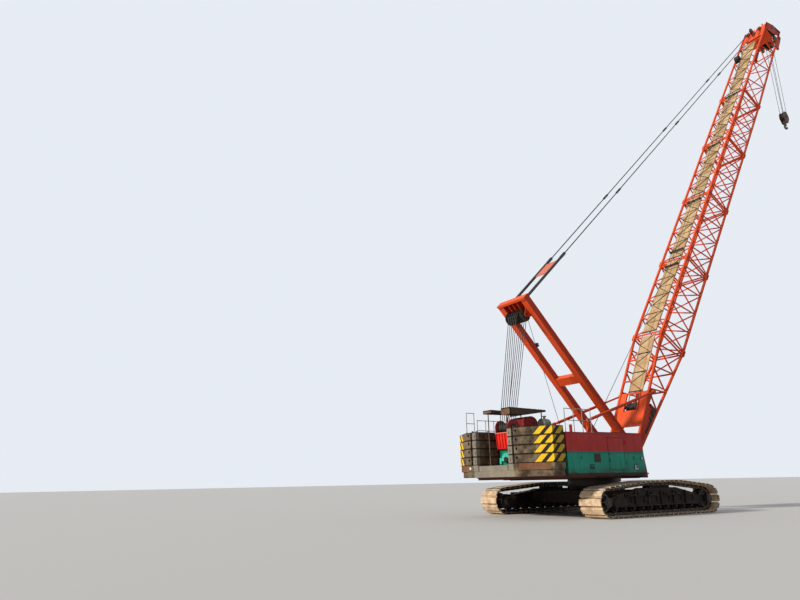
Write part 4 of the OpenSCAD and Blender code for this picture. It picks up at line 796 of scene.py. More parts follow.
# bearing caps with bolts on the cheeks, and bolts along the rear lip
caps = []
for side in (-1, 1):
    face = side * 0.45
    caps.append(soften(rod((luff_x, face, luff_z), (luff_x, face + side * 0.03, luff_z), 0.15, 32), 0.006))
    near, far = face + side * 0.028, face + side * 0.042
    caps += [rod(from_drum(x, near, luff_z + z), from_drum(x, far, luff_z + z), 0.013, 6)
             for x, z in on_circle(0.12)]
caps += [rod(from_drum(-0.385, y, lip_z), from_drum(-0.393, y, lip_z), 0.014, 6)
         for y in (-0.4, -0.24, -0.08, 0.08, 0.24, 0.4)]
assembled("winch_bolts", caps, steel, "superstructure")

# Air cleaner: a pressed tin with a rolled joint and clamp bands, sun-bleached
# grey paint with rust coming through.


def grey_paint(place):
    tone = place.noise(3, 7).ramp(0.4, 0.7)
    rusty = place.noise(7, 8).ramp(0.58, 0.70)
    colour = tone.between((0.13, 0.14, 0.115), (0.27, 0.27, 0.22))
    colour = (rusty * 0.7).between(colour, (0.20, 0.10, 0.05))
    return {"Base Color": colour, "Roughness": 0.6, "Normal": place.bump(place.noise(50, 5), 0.002, 0.5)}


grey = finish("grey_paint", grey_paint)
coat(grey, "air_cleaner")
bands = []
for x in (-4.15, -3.95):
    bands.append(sink(rod((x - 0.015, -1.06, 4.06), (x + 0.015, -1.06, 4.06), 0.246, 40),
                      lambda face: abs(face.normal.x) > 0.99, 0.02, 0.006))
bands.append(rod((-4.05, -1.06, 4.28), (-4.05, -1.06, 4.40), 0.055, 20))
bands.append(soften(rod((-4.05, -1.06, 4.40), (-4.05, -1.06, 4.44), 0.10, 24), 0.01))
assembled("cleaner_bands", bands, grey, "superstructure")

# Canopy: rusty sheet over the winches on thin posts, with a folded rim, sheet
# joints and a few bent stiffeners; grey dust has settled on top.


def rusty_sheet(place):
    tone = place.noise(3, 8, 0.7).ramp(0.35, 0.70)
    colour = tone.between((0.085, 0.035, 0.018), (0.27, 0.15, 0.085))
    bloom = place.noise(8, 8).ramp(0.55, 0.75)
    colour = (bloom * 0.6).between(colour, (0.30, 0.12, 0.045))
    # painted shade: faces turned to either side are painted near black, as if in shade
    side = place.node("TexCoord", output=1).axis("Y")
    colour = ((side * side).ramp(0.6, 0.9) * 0.75).between(colour, (0.030, 0.018, 0.012))
    top = place.node("TexCoord", output=1).axis("Z").ramp(0.6, 0.9)
    colour = (top * 0.6).between(colour, (0.30, 0.25, 0.20))
    return {"Base Color": colour, "Roughness": 0.85,
            "Normal": place.bump(place.noise(20, 7) + bloom, 0.004, 0.6)}


sheet_rust = finish("rusty_sheet", rusty_sheet)
coat(sheet_rust, "walkways")
rear_edge, front_edge = -6.0, -3.82
notch_x, notch_y = -4.85, 0.35
deck_z = 1.85
roof = []
for side, lift in ((-1, 0), (1, 0.16)):
    near, far = sorted((side * 0.34, side * 0.95))
    roof.append(cut_plate([(rear_edge, 4.74), (front_edge, 4.69), (front_edge, 4.73), (rear_edge, 4.78)],
                          near, far))
    # rim along the outer side, deeper on the near one, and along the rope's notch
    roof.append(cut_plate([(rear_edge, 4.46 + lift), (-4.93, 4.50 + lift * 0.8), (front_edge, 4.64),
                           (front_edge, 4.70), (rear_edge, 4.75)],
                          side * 0.935 - 0.015, side * 0.935 + 0.015, 0.003))
    roof.append(upright_plate([(rear_edge, 4.46 + lift), (notch_x, 4.49 + lift), (notch_x, 4.724),
                               (rear_edge, 4.75)], side * notch_y, 0.01))
    roof.append(block((rear_edge, near, 4.46 if side < 0 else 4.64), (rear_edge + 0.03, far, 4.75), 0.003))
    # posts, the front ones on a small foot plate
    roof.append(rod((-5.95, side * 0.65, 2.26), (-5.95, side * 0.65, 4.60), 0.025, 10))
    roof.append(rod((-3.87, side * 0.70, deck_z), (-3.87, side * 0.70, 4.68), 0.025, 10))
    roof.append(block((-3.92, side * 0.70 - 0.06, deck_z), (-3.82, side * 0.70 + 0.06, deck_z + 0.012)))
notch_rear = notch_x - 0.02
roof.append(upright_plate([(notch_rear, 4.718), (front_edge, 4.69), (front_edge, 4.73),
                           (notch_rear, 4.754)], 0, 0.34))
roof.append(block((notch_rear, -notch_y, 4.49), (notch_x, notch_y, 4.724)))
roof.append(block((front_edge - 0.03, -0.95, 4.64), (front_edge, 0.95, 4.71), 0.003))
# bars over the sheet, which falls towards the front
for x in (-4.78, -4.44, -4.1):
    sheet_z = 4.76 - (x - rear_edge) * 0.0229
    roof.append(block((x - 0.02, -0.93, sheet_z), (x + 0.02, 0.93, sheet_z + 0.032), 0.003))
canopy = assembled("winch_canopy", roof, sheet_rust, "superstructure")
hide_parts("canopy")

# Drum cover: rolled sheet between the luffing winch and the air cleaner, under
# the canopy, open below, on four angle legs that stand on the deck.
cover_x, cover_z, cover_r = -4.35, 4.01, 0.46
shell = cut_below(rod((cover_x, -0.5, cover_z), (cover_x, 0.5, cover_z), cover_r, 48), cover_z - 0.02, False)
wall = shell.modifiers.new("sheet", "SOLIDIFY")
wall.thickness = 0.012
bpy.ops.object.modifier_apply(modifier="sheet")
cover = [shell]
legs_x = (cover_x - 0.40, cover_x + 0.40)
for y in (-0.46, 0.46):
    cover += [block((x - 0.03, y - 0.03, deck_z), (x + 0.03, y + 0.03, cover_z + 0.06), 0.005)
              for x in legs_x]
    cover.append(block((cover_x - 0.43, y - 0.015, 3.2), (cover_x + 0.43, y + 0.015, 3.26), 0.004))
cover += [block((x - 0.06, -0.52, deck_z), (x + 0.06, 0.52, deck_z + 0.03), 0.004) for x in legs_x]
cover = assembled("drum_hood", cover, dark_paint, "superstructure")
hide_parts("drum_cover")

# Cab: a sheet shell with tinted glass on every side, black rubber round the
# panes, a wiper, a mirror on an arm and a lamp over the windscreen.
front, cab_side, cab_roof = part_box("cab_body")[1]
seat_x, seat_y = 1.09, 2.435
cab_floor = 1.8503


def tinted(place):
    dust = place.noise(3, 6).ramp(0.45, 0.8)
    return {"Base Color": (dust * 0.4).between((0.05, 0.075, 0.075), (0.22, 0.20, 0.17)),
            "Roughness": dust * 0.25 + 0.04, "Alpha": dust * 0.2 + 0.42,
            "Normal": place.bump(place.noise(1.5, 2), 0.002, 0.3)}


coat(finish("cab_glazing", tinted), "cab_glass", "cab_door_glass")
wiper_y = seat_y - 0.30
arm_x, arm_y = front + 0.10, cab_side + 0.14
fittings = [rod((front + 0.01, wiper_y, 2.46), (front + 0.012, seat_y + 0.12, 3.10), 0.008, 8),
            rod((front + 0.016, seat_y + 0.02, 2.74), (front + 0.016, seat_y + 0.24, 3.42), 0.007, 6),
            soften(rod((front - 0.03, wiper_y, 2.46), (front + 0.02, wiper_y, 2.46), 0.022, 12), 0.004),
            rod((front - 0.10, cab_side - 0.02, 2.60), (arm_x, arm_y, 2.62), 0.011, 8),
            rod((arm_x, arm_y, 2.61), (arm_x, arm_y, 3.0), 0.011, 8),
            block((arm_x - 0.015, arm_y - 0.07, 2.70), (arm_x + 0.015, arm_y + 0.07, 2.96), 0.012)]
assembled("wiper_and_mirror", fittings, rubber, "superstructure")
lamps = []
for y in (seat_y - 0.32, seat_y + 0.32):
    post = rod((front - 0.16, y, cab_roof - 0.02), (front - 0.16, y, cab_roof + 0.05), 0.018, 10)
    shell = rod((front - 0.20, y, cab_roof + 0.11), (front - 0.10, y, cab_roof + 0.10), 0.075, 20)
    lamps += [soften(post, 0.003), soften(shell, 0.015, 2)]
assembled("cab_lamps", lamps, lamp_white, "superstructure")

# Seat and console: a cushioned seat on a steel pedestal, in dark cloth with a
# sewn edge, between two armrests; a console with levers in front of it.


def dark_cloth(place):
    weave = place.node("TexWave", {"bands_direction": "X"}, {"Vector": place, "Scale": 90.0}, 1)
    cross = place.node("TexWave", {"bands_direction": "Y"}, {"Vector": place, "Scale": 90.0}, 1)
    worn = place.noise(5, 5).ramp(0.4, 0.75)
    colour = (worn * 0.7).between((0.016, 0.017, 0.020), (0.065, 0.06, 0.055))
    return {"Base Color": colour, "Roughness": 0.92, "Normal": place.bump(weave + cross, 0.0015, 0.6)}


cloth = finish("seat_cloth", dark_cloth)
coat(steel, "cab_console")


def cushion(low, high):
    """A crowned pad whose sides pull in between its corners."""
    made = block(low, high)
    bpy.ops.object.mode_set(mode="EDIT")
    bpy.ops.mesh.select_all(action="SELECT")
    bpy.ops.mesh.subdivide(number_cuts=7)
    bpy.ops.object.mode_set(mode="OBJECT")
    middle, half = (Vector(low) + Vector(high)) / 2, (Vector(high) - Vector(low)) / 2
    for point in made.data.vertices:
        u, v, w = ((point.co[i] - middle[i]) / half[i] for i in range(3))
        crown = 0.62 + 0.38 * math.cos(u * 1.45) * math.cos(v * 1.45)
        point.co.x = middle.x + half.x * u * (0.93 + 0.05 * v * v + 0.02 * (1 - w * w))
        point.co.y = middle.y + half.y * v * (0.93 + 0.05 * u * u + 0.02 * (1 - w * w))
        point.co.z = middle.z + half.z * w * crown
    smooth = made.modifiers.new("rounded", "SUBSURF")
    smooth.levels = smooth.render_levels = 1
    bpy.ops.object.modifier_apply(modifier="rounded")
    return made




def at_seat(x, y, z):
    """A place given from the foot of the seat."""
    return seat_x + x, seat_y + y, cab_floor + z


pad = [cushion(at_seat(-0.25, -0.24, 0.405), at_seat(0.25, 0.24, 0.53))]
base = assembled("seat_cushion", pad, cloth, "superstructure")
lean = Matrix.Translation(at_seat(-0.24, 0, 0.50)) @ Matrix.Rotation(math.radians(-12), 4, "Y")
upended = lean @ shift(z=0.28) @ Matrix.Rotation(math.radians(90), 4, "Y")
pad = [cushion((-0.24, -0.24, -0.055), (0.24, 0.24, 0.055))]
back = assembled("seat_back", pad, cloth, "superstructure", upended)
stand = [soften(rod(at_seat(0, 0, 0), at_seat(0, 0, 0.02), 0.2, 24), 0.006),
         rod(at_seat(0, 0, 0), at_seat(0, 0, 0.38), 0.07, 20),
         block(at_seat(-0.22, -0.21, 0.37), at_seat(0.22, 0.21, 0.41), 0.01),
         block(at_seat(-0.25, -0.20, 0.38), at_seat(-0.21, 0.20, 0.56), 0.01)]
for y in (-0.30, 0.30):
    stand.append(block(at_seat(-0.20, y - 0.03, 0.64), at_seat(0.16, y + 0.03, 0.70), 0.015))
    stand.append(rod(at_seat(-0.16, y, 0.39), at_seat(-0.16, y, 0.66), 0.015, 10))
    stand.append(rod(at_seat(-0.16, 0, 0.39), at_seat(-0.16, y, 0.39), 0.015, 10))
stand = assembled("seat_stand", stand, rubber, "superstructure")
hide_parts("cab_seat")

# Boom: welded tube lattice in six lengths pinned end to end, painted orange-red;
# its faces turned up and towards the lamp are paler, partly chalked paint and partly painted highlight, those
# turned away are painted shade, and the tubes are scratched to rust.
foot_pin = (2.25, 0, 2.8)
boom_place = Matrix.Translation(foot_pin) @ Matrix.Rotation(math.radians(-55.7), 4, "Y")
boom_half_w = 0.92
boom_half_d = 0.98
chord_r = 0.078
lacing_r = 0.040
frame_r = 0.048
foot_len = 7.4
section_len = 6.2
section_bays = 4
joint_len = 0.2
side_off = 0.05
face_off = 0.07
orange = (0.80, 0.085, 0.014)
chalk_and_highlight = (0.86, 0.17, 0.07)


def boom_paint(place):
    normal = place.node("TexCoord", output=1)
    faded = place.noise(0.9).ramp(0.40, 0.72)
    chips = place.noise(13, 8, 0.7).ramp(0.63, 0.70)
    dirt = place.stretched(1, 1, 0.4).noise(3, 6).ramp(0.52, 0.80)
    # chalk and painted highlight: faces turned up and towards the lamp are painted paler; painted shade:
    # faces turned away are painted a darker red
    sunward_chalk_and_light = (normal.axis("Z") * 0.6 - normal.axis("X") * 0.6).ramp(0.35, 0.9)
    shaded = (0 - normal.axis("Y") + normal.axis("X") * 0.4 - normal.axis("Z") * 0.2).ramp(0.45, 1.0)
    colour = (sunward_chalk_and_light * faded * 0.6).between(orange, chalk_and_highlight)
    colour = (shaded * 0.7).between(colour, (0.30, 0.016, 0.008))
    colour = (dirt * 0.40).between(colour, grime)
    colour = (chips * 0.8).between(colour, rust)
    return {"Base Color": colour, "Roughness": faded * 0.2 + 0.5,
            "Specular IOR Level": 0.22, "Normal": place.bump(place.noise(60, 4) - chips * 1.5, 0.003, 0.45)}


boom_red = finish("boom_paint", boom_paint)
coat(boom_red, "mast", "stop_supports", "stop_barrels", "stop_rods")


def lattice(t0, t1, bays, taper=0.0):
    """Warren lacing on the four faces, the front one coming in by the taper."""
    made = []
    step = (t1 - t0) / bays

    def front(t):
        return boom_half_d - taper * (t - t0) / (t1 - t0)

    for bay in range(bays):
        for side in (-1, 1):
            a = t0 + bay * step
            m, b = a + step / 2, a + step
            za, zb = (-front(a), -front(b)) if side < 0 else (boom_half_d, boom_half_d)
            zm = boom_half_d if side < 0 else -front(m)
            fm = -front(m) if side < 0 else boom_half_d
            y = side * boom_half_w
            made += [rod((a + side_off, y, za), (m - side_off, y, zm), lacing_r, 8),
                     rod((m + side_off, y, zm), (b - side_off, y, zb), lacing_r, 8),
                     rod((a + face_off, y, za), (m - face_off, -y, fm), lacing_r, 8),
                     rod((m + face_off, -y, fm), (b - face_off, y, zb), lacing_r, 8)]
    return made


def frame_bars(t, taper=0.0):
    front = boom_half_d - taper
    made = [rod((t, -boom_half_w, z), (t, boom_half_w, z), frame_r, 10) for z in (-front, boom_half_d)]
    return made + [rod((t, y, -front), (t, y, boom_half_d), frame_r, 10) for y in (-boom_half_w, boom_half_w)]


def connector(t, y, z, way):
    """The forged end of a chord: a block with a fork of plates, and its pin."""
    start = t if way > 0 else t - joint_len
    made = [soften(block((start, y - 0.1, z - 0.1), (start + joint_len, y + 0.1, z + 0.1)), 0.02, 2)]
    if way > 0:
        made.append(rod((t + 0.004, y - 0.135, z), (t + 0.004, y + 0.135, z), 0.045, 14))
        made.append(rod((t + 0.004, y - 0.115, z), (t + 0.004, y - 0.102, z), 0.075, 14))
        made.append(rod((t + 0.004, y + 0.102, z), (t + 0.004, y + 0.115, z), 0.075, 14))
    return made


corners = [(y, z) for y in (-boom_half_w, boom_half_w) for z in (-boom_half_d, boom_half_d)]
parts = [rod((0, y, z), (section_len, y, z), chord_r, 16) for y, z in corners]
for y, z in corners:
    parts += connector(0, y, z, 1) + connector(section_len, y, z, -1)
parts += frame_bars(joint_len / 2) + frame_bars(section_len - joint_len / 2)
parts += lattice(0.13, section_len - 0.13, section_bays)
# gusset plates where the lacing meets the chords on the rear face
for bay in range(1, section_bays * 2):
    t = 0.13 + bay * (section_len - 0.26) / section_bays / 2
    y = boom_half_w if bay % 2 == 0 else -boom_half_w
    parts.append(block((t - 0.10, y - 0.012, boom_half_d - 0.16), (t + 0.10, y + 0.012, boom_half_d - 0.05)))
section = joined(parts)
for number in range(4):
    length = copied(section, [shift(x=foot_len + number * section_len)])
    length = assembled("boom_lattice_" + str(number + 1), length, boom_red, "boom", boom_place)
    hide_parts("boom_section_" + str(number + 1))
bpy.data.objects.remove(section)

# Boom foot: two side plates with the foot lugs, a rear plate round the opening of
# the small winch, and tubes that spread to the full section.
foot_t = 0.35
foot_half = 0.15
foot_plate = 3.0
foot_bays = 3
foot_step = (foot_len - joint_len - foot_plate) / foot_bays
stop_eye = (3.63, 0.36)


def foot_z(t):
    return foot_half + (boom_half_d - foot_half) * (t - foot_t) / (foot_len - foot_t)


parts = []
eye_t, eye_z = stop_eye
for side in (-1, 1):
    y = side * boom_half_w
    for face in (-1, 1):
        start = foot_t - 0.2
        parts.append(rod((start, y, face * foot_z(start)), (foot_len, y, face * boom_half_d), chord_r, 16))
        parts += connector(foot_len, y, face * boom_half_d, -1)
    wide = foot_z(foot_plate)
    parts.append(upright_plate([(0, -0.19), (foot_plate, -wide), (foot_plate, wide), (0, 0.19)], y, 0.015))
    parts.append(upright_plate([(eye_t - 0.7, eye_z - 0.14), (eye_t + 0.2, eye_z - 0.14),
                                (eye_t + 0.2, eye_z + 0.2), (eye_t - 0.7, eye_z + 0.1)], y, 0.017))
    # bosses of the foot pin and of the boom stop's eye
    parts.append(soften(rod((0, side * 0.82, 0), (0, side * 1.02, 0), 0.26, 40), 0.012))
    parts.append(soften(rod((eye_t, y, eye_z), (eye_t, side * 1.069, eye_z), 0.08, 24), 0.006))
    # edge bar along the rear of the side plate, and a stiffener on it
    bar_y = y + side * 0.02
    parts.append(rod((0.1, bar_y, 0.17), (foot_plate, bar_y, wide - 0.02), 0.03, 8))
    parts.append(upright_plate([(1.1, -0.10), (2.9, -0.25), (2.9, -0.19), (1.1, -0.04)], y, 0.03))
    for bay in range(foot_bays):
        a = foot_plate + bay * foot_step
        b = a + foot_step
        m = (a + b) / 2
        parts.append(rod((a - 0.06, y, -foot_z(a)), (m - side_off, y, foot_z(m)), lacing_r + 0.004, 8))
        parts.append(rod((m + side_off, y, foot_z(m)), (b - side_off, y, -foot_z(b)), lacing_r + 0.004, 8))
    parts.append(rod((foot_len - 0.1, y, -boom_half_d), (foot_len - 0.1, y, boom_half_d), frame_r, 10))
crosses = [1.0, foot_plate + foot_step, foot_plate + 2 * foot_step, foot_len - 0.1]
for face in (-1, 1):
    for t in crosses:
        z = face * foot_z(t)
        parts.append(rod((t, -boom_half_w, z), (t, boom_half_w, z), frame_r, 10))
    for a, b, turn in ((crosses[1], crosses[2], -1), (crosses[2], crosses[3], 1)):
        parts.append(rod((a + face_off, turn * boom_half_w, face * foot_z(a)),
                         (b - face_off, -turn * boom_half_w, face * foot_z(b)), lacing_r, 8))
# rear plate in four sheets round the winch opening
rear_end = 3.62


def on_rear(t0, t1, low, high, y0, y1):
    """A flat part along the foot's rear side, by its heights over the middle of the chords."""
    return cut_plate([(t0, foot_z(t0) + low), (t1, foot_z(t1) + low),
                      (t1, foot_z(t1) + high), (t0, foot_z(t0) + high)], y0, y1)


for t0, t1, y0, y1 in ((1.5, 2.5, -boom_half_w, boom_half_w), (3.5, rear_end, -boom_half_w, boom_half_w),
                       (2.5, 3.5, -boom_half_w, -0.42), (2.5, 3.5, 0.42, boom_half_w)):
    parts.append(on_rear(t0, t1, -0.02, 0.01, y0, y1))
parts += [on_rear(2.45, 3.55, 0.0, 0.06, y - 0.02, y + 0.02) for y in (-0.44, 0.44)]
foot = assembled("boom_foot_frame", parts, boom_red, "boom", boom_place)
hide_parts("boom_foot")

# Boom head: the last length with plates on both sides that carry the sheaves, a
# guard bar over its end and lugs for the pendants; scratched and greasy.
boom_len = 43.0
head_t0 = foot_len + 4 * section_len
head_taper = 0.22
head_front = -boom_half_d + head_taper
frame_end = boom_len - 3.0
arm_t = boom_len - 1.75
plate_t = boom_len - 1.4
sheave_t = boom_len - 0.45
lug_t, lug_z = boom_len - 1.25, boom_half_d + 0.15
guide_t, guide_y, guide_z = boom_len - 1.64, 0.0, boom_half_d + 0.33
jib_t, jib_z = boom_len - 1.9, -boom_half_d - 0.13
end_taper = head_taper * (frame_end - head_t0) / (plate_t - head_t0)
parts = []
for y in (-boom_half_w, boom_half_w):
    parts.append(rod((head_t0, y, boom_half_d), (plate_t - 0.1, y, boom_half_d), chord_r, 16))
    parts.append(rod((head_t0, y, -boom_half_d), (plate_t - 0.1, y, head_front), chord_r, 16))
    for z in (-boom_half_d, boom_half_d):
        parts += connector(head_t0, y, z, 1)
    # side plate with an arm along each chord
    for corners in ([(arm_t, boom_half_d - 0.06), (boom_len - 0.6, boom_half_d - 0.06),
                     (boom_len - 0.6, boom_half_d + 0.05), (arm_t, boom_half_d + 0.06)],
                    [(plate_t, boom_half_d - 0.2), (plate_t, head_front + 0.1), (boom_len, head_front + 0.02),
                     (boom_len, 0.28), (boom_len - 0.6, boom_half_d + 0.05),
                     (plate_t - 0.12, boom_half_d - 0.02)],
                    [(jib_t - 0.25, jib_z + 0.02), (jib_t + 0.2, jib_z - 0.08), (sheave_t - 0.15, -1.10),
                     (boom_len - 0.26, -1.08), (boom_len - 0.1, head_front + 0.12),
                     (jib_t - 0.3, head_front + 0.06)]):
        parts.append(upright_plate(corners, y, 0.015))
    low_end, high_end = (frame_end + 0.12, y, boom_half_d - 0.03), (arm_t + 0.06, y, head_front + 0.02)
    parts.append(rod(low_end, high_end, lacing_r, 8))
    # boss for a jib's foot pin, open in the middle
    boss = rod((jib_t, y - 0.06, jib_z), (jib_t, y + 0.06, jib_z), 0.11, 32)
    sink(boss, lambda face: abs(face.normal.y) > 0.99, 0.07, 0.055)
    parts.append(soften(boss, 0.004))
    # arm of the guard bar
    parts.append(cut_plate([(boom_len - 0.5, head_front - 0.02), (boom_len + 0.36, head_front - 0.03),
                            (boom_len + 0.33, head_front + 0.06), (boom_len - 0.5, head_front + 0.03)],
                           y - 0.05, y + 0.018))
parts += frame_bars(head_t0 + 0.1) + frame_bars(frame_end, end_taper)
parts += lattice(head_t0 + 0.13, frame_end - 0.06, 3, end_taper)
# two plates between the sheaves
for y in (-0.325, 0.325):
    parts.append(upright_plate([(sheave_t - 0.9, head_front + 0.2), (sheave_t - 0.2, -1.09),
                                (sheave_t + 0.15, -1.09), (boom_len - 0.12, head_front),
                                (boom_len - 0.12, 0.40), (boom_len - 0.8, boom_half_d - 0.06),
                                (boom_len - 1.3, boom_half_d - 0.04)], y, 0.015))
# cross plates, the guard bar over the end and its lower edge
slot_t = guide_t - 0.32
slot_end = boom_len - 0.64
for t0, t1, y0, y1 in ((boom_len - 2.4, slot_t, -boom_half_w, boom_half_w),
                       (slot_t, slot_end, 0.06, boom_half_w), (slot_t, slot_end, -boom_half_w, -0.06)):
    parts.append(block((t0, y0, boom_half_d - 0.05), (t1, y1, boom_half_d - 0.02)))
parts.append(block((boom_len - 1.46, -boom_half_w, -0.3), (boom_len - 1.42, boom_half_w, boom_half_d - 0.04)))
for y0, y1 in ((-boom_half_w, -0.33), (0.33, boom_half_w)):
    parts.append(block((plate_t - 0.08, y0, head_front + 0.06), (sheave_t - 0.49, y1, head_front + 0.09)))
guard = cut_plate([(boom_len - 0.05, 0.30), (boom_len - 0.01, 0.34), (boom_len + 0.42, head_front + 0.02),
                   (boom_len + 0.34, head_front - 0.04)], -0.94, 0.94, 0.008)
# pendant lugs with their pins, and the guide sheave's two lugs
for middle in (-0.48, 0.48):
    for y in (middle - 0.0603, middle + 0.0603):
        parts.append(upright_plate([(lug_t - 0.25, boom_half_d - 0.04), (lug_t + 0.2, boom_half_d - 0.04),
                                    (lug_t + 0.1, lug_z + 0.08), (lug_t - 0.1, lug_z + 0.08)],
                                   y, 0.015, 0.004))
    parts.append(rod((lug_t, middle - 0.08, lug_z), (lug_t, middle + 0.08, lug_z), 0.03, 16))
for y in (guide_y - 0.06, guide_y + 0.06):
    parts.append(upright_plate([(guide_t - 0.26, boom_half_d - 0.045), (guide_t + 0.2, boom_half_d - 0.045),
                                (guide_t + 0.09, guide_z + 0.09), (guide_t - 0.09, guide_z + 0.09)],
                               y, 0.014, 0.004))
# rope hoop on the rear face, half sunk behind the plate
parts.append(hoop((boom_len - 1.95, -0.55, boom_half_d + 0.02), (math.pi / 2, 0, 0), 0.30, 0.026, 32, 8))
# knob of the limit switch, on a short post
knob_t, knob_y = boom_len - 0.75, -0.62
parts.append(rod((knob_t, knob_y, boom_half_d), (knob_t, knob_y, boom_half_d + 0.10), 0.025, 8))
knob = rod((knob_t, knob_y, boom_half_d + 0.08), (knob_t, knob_y, boom_half_d + 0.15), 0.06, 16)
parts.append(soften(knob, 0.015))
head = assembled("boom_head_frame", parts, boom_red, "boom", boom_place)
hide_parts("boom_head")
assembled("head_guard", [guard], steel, "boom", boom_place)
coat(steel, "head_sheaves", "foot_winch")

# Boom walkway: ochre planks of pressed sheet between two edge bars, clamped to
# the rear face; dark bars cross it at every bay.
walk_low = boom_half_d + frame_r + 0.001
walk_side = (-0.56, 0.32)
walk_right, walk_left = walk_side
walk_pitch = (section_len - 0.32) / section_bays
walk_starts = [foot_len + k * section_len + 0.16 + i * walk_pitch
               for k, planks_there in enumerate((4, 4, 4, 4, 5)) for i in range(planks_there)]


def ochre(place):
    tone = place.noise(1.2, 6).ramp(0.35, 0.7)
    colour = tone.between((0.44, 0.27, 0.12), (0.66, 0.46, 0.25))
    dirt = place.noise(4, 8, 0.7).ramp(0.50, 0.72)
    colour = (dirt * 0.6).between(colour, (0.16, 0.08, 0.035))
    return {"Base Color": colour, "Roughness": 0.85,
            "Normal": place.bump(place.noise(25, 6) + dirt, 0.005, 0.6)}


def brown_paint(place):
    tone = place.noise(5, 7).ramp(0.4, 0.7)
    return {"Base Color": tone.between((0.055, 0.020, 0.010), (0.15, 0.06, 0.03)), "Roughness": 0.75,
            "Normal": place.bump(place.noise(50, 5), 0.002, 0.5)}


planks = finish("walkway_ochre", ochre)
brown = finish("walkway_brown", brown_paint)
walk_end = walk_starts[-1] + walk_pitch
parts = [block((walk_starts[0], y - 0.015, walk_low), (walk_end, y + 0.015, walk_low + 0.08), 0.004)
         for y in walk_side]
for t in walk_starts:
    plank = block((t + 0.03, walk_right, walk_low + 0.04),
                  (t + walk_pitch - 0.03, walk_left, walk_low + 0.07), 0.004)
    parts.append(sink(plank, lambda face: face.normal.z > 0.99 and face.area > 0.3, 0.04, 0.01))
# three planks on the foot's cross tubes, which come in towards the pins
foot_sheets = [3.60 + i * 1.24 for i in range(3)]
parts += [on_rear(t, t + 1.20, frame_r, frame_r + 0.02, walk_right, walk_left) for t in foot_sheets]
parts += [on_rear(3.58, 7.36, frame_r - 0.002, frame_r + 0.05, y - 0.015, y + 0.015) for y in walk_side]
walkway = assembled("walkway_planks", parts, planks, "boom", boom_place)
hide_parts("boom_walkway")

def crossed(t, half, over, low, high, edge):
    """A bar across the walkway: half its width along the boom, how far it runs over, its heights."""
    return block((t - half, walk_right - over, walk_low + low),
                 (t + half, walk_left + over, walk_low + high), edge)


parts = []
for t in walk_starts:
    parts.append(crossed(t, 0.035, 0.06, 0.03, 0.082, 0.005))
    parts.append(crossed(t + walk_pitch / 2, 0.02, 0.02, 0.05, 0.075, 0.004))
# thin lacing over the sheet, from edge to edge
for t in walk_starts:
    for k, (y0, y1) in enumerate((walk_side, walk_side[::-1])):
        parts.append(rod((t + k * walk_pitch / 2, y0, walk_low + 0.085),
                         (t + (k + 1) * walk_pitch / 2, y1, walk_low + 0.085), 0.02, 6))
for t in foot_sheets:
    parts.append(on_rear(t, t + 0.05, frame_r + 0.02, frame_r + 0.045, walk_right - 0.05, walk_left + 0.05))
    for k, (y0, y1) in enumerate((walk_side, walk_side[::-1])):
        a, b = t + k * 0.62, t + (k + 1) * 0.62
        parts.append(rod((a, y0, foot_z(a) + 0.085), (b, y1, foot_z(b) + 0.085), 0.018, 6))
assembled("walkway_bars", parts, brown, "boom", boom_place)

# Rope rollers: steel rollers in small brackets on the walkway's edge bars, over
# which the hoist rope runs up the boom.
roller_t = [foot_len + section_len - 0.65, foot_len + section_len + 0.65, foot_len + 2 * section_len - 0.65,
            foot_len + 3 * section_len - 0.65, head_t0 - 0.45]
roller_z = walk_low + 0.17
parts = []
# rope stack beside the walkway: four narrow sheaves on one shaft between two lugs
stack_t, stack_axis = frame_end - 2.3, boom_half_d + 0.22
for y in (0.40, 0.49, 0.58, 0.67):
    disc = soften(rod((stack_t, y, stack_axis), (stack_t, y + 0.06, stack_axis), 0.26, 28), 0.008)
    parts.append(sink(disc, lambda face: abs(face.normal.y) > 0.99 and face.area > 0.05, 0.04, 0.012))
parts.append(rod((stack_t, 0.34, stack_axis), (stack_t, 0.80, stack_axis), 0.035, 14))
for y in (0.36, 0.78):
    parts.append(upright_plate([(stack_t - 0.22, boom_half_d - 0.04), (stack_t + 0.22, boom_half_d - 0.04),
                                (stack_t + 0.07, boom_half_d + 0.29), (stack_t - 0.07, boom_half_d + 0.29)],
                               y, 0.012, 0.004))
for t in (stack_t - 0.2, stack_t + 0.2):
    parts.append(rod((t, 0.30, boom_half_d), (t, boom_half_w, boom_half_d), 0.035, 10))
for t in roller_t:
    for y in walk_side:
        parts.append(block((t - 0.07, y - 0.015, walk_low + 0.08),
                           (t + 0.07, y + 0.015, walk_low + 0.23), 0.006))
    tube = rod((t, walk_right - 0.03, roller_z), (t, walk_left + 0.03, roller_z), 0.05, 20)
    parts.append(soften(tube, 0.006))
    parts.append(rod((t, walk_right - 0.06, roller_z), (t, walk_left + 0.06, roller_z), 0.018, 10))
rollers = assembled("rope_rollers", parts, steel, "boom", boom_place)
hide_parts("guide_rollers")

# Handrails and roof walkways: thin galvanised tube, dull, scratched and bent a
# little, standing on rusty checkered sheet.


def dull_zinc(place):
    tone = place.noise(6, 6).ramp(0.4, 0.7)
    rusty = place.noise(9, 8).ramp(0.60, 0.72)
    colour = tone.between((0.24, 0.20, 0.165), (0.42, 0.38, 0.33))
    return {"Base Color": (rusty * 0.7).between(colour, rust), "Roughness": 0.6, "Metallic": 0.3,
            "Normal": place.bump(place.noise(70, 4), 0.001, 0.5)}


zinc = finish("galvanised_rail", dull_zinc)
coat(zinc, "handrails")
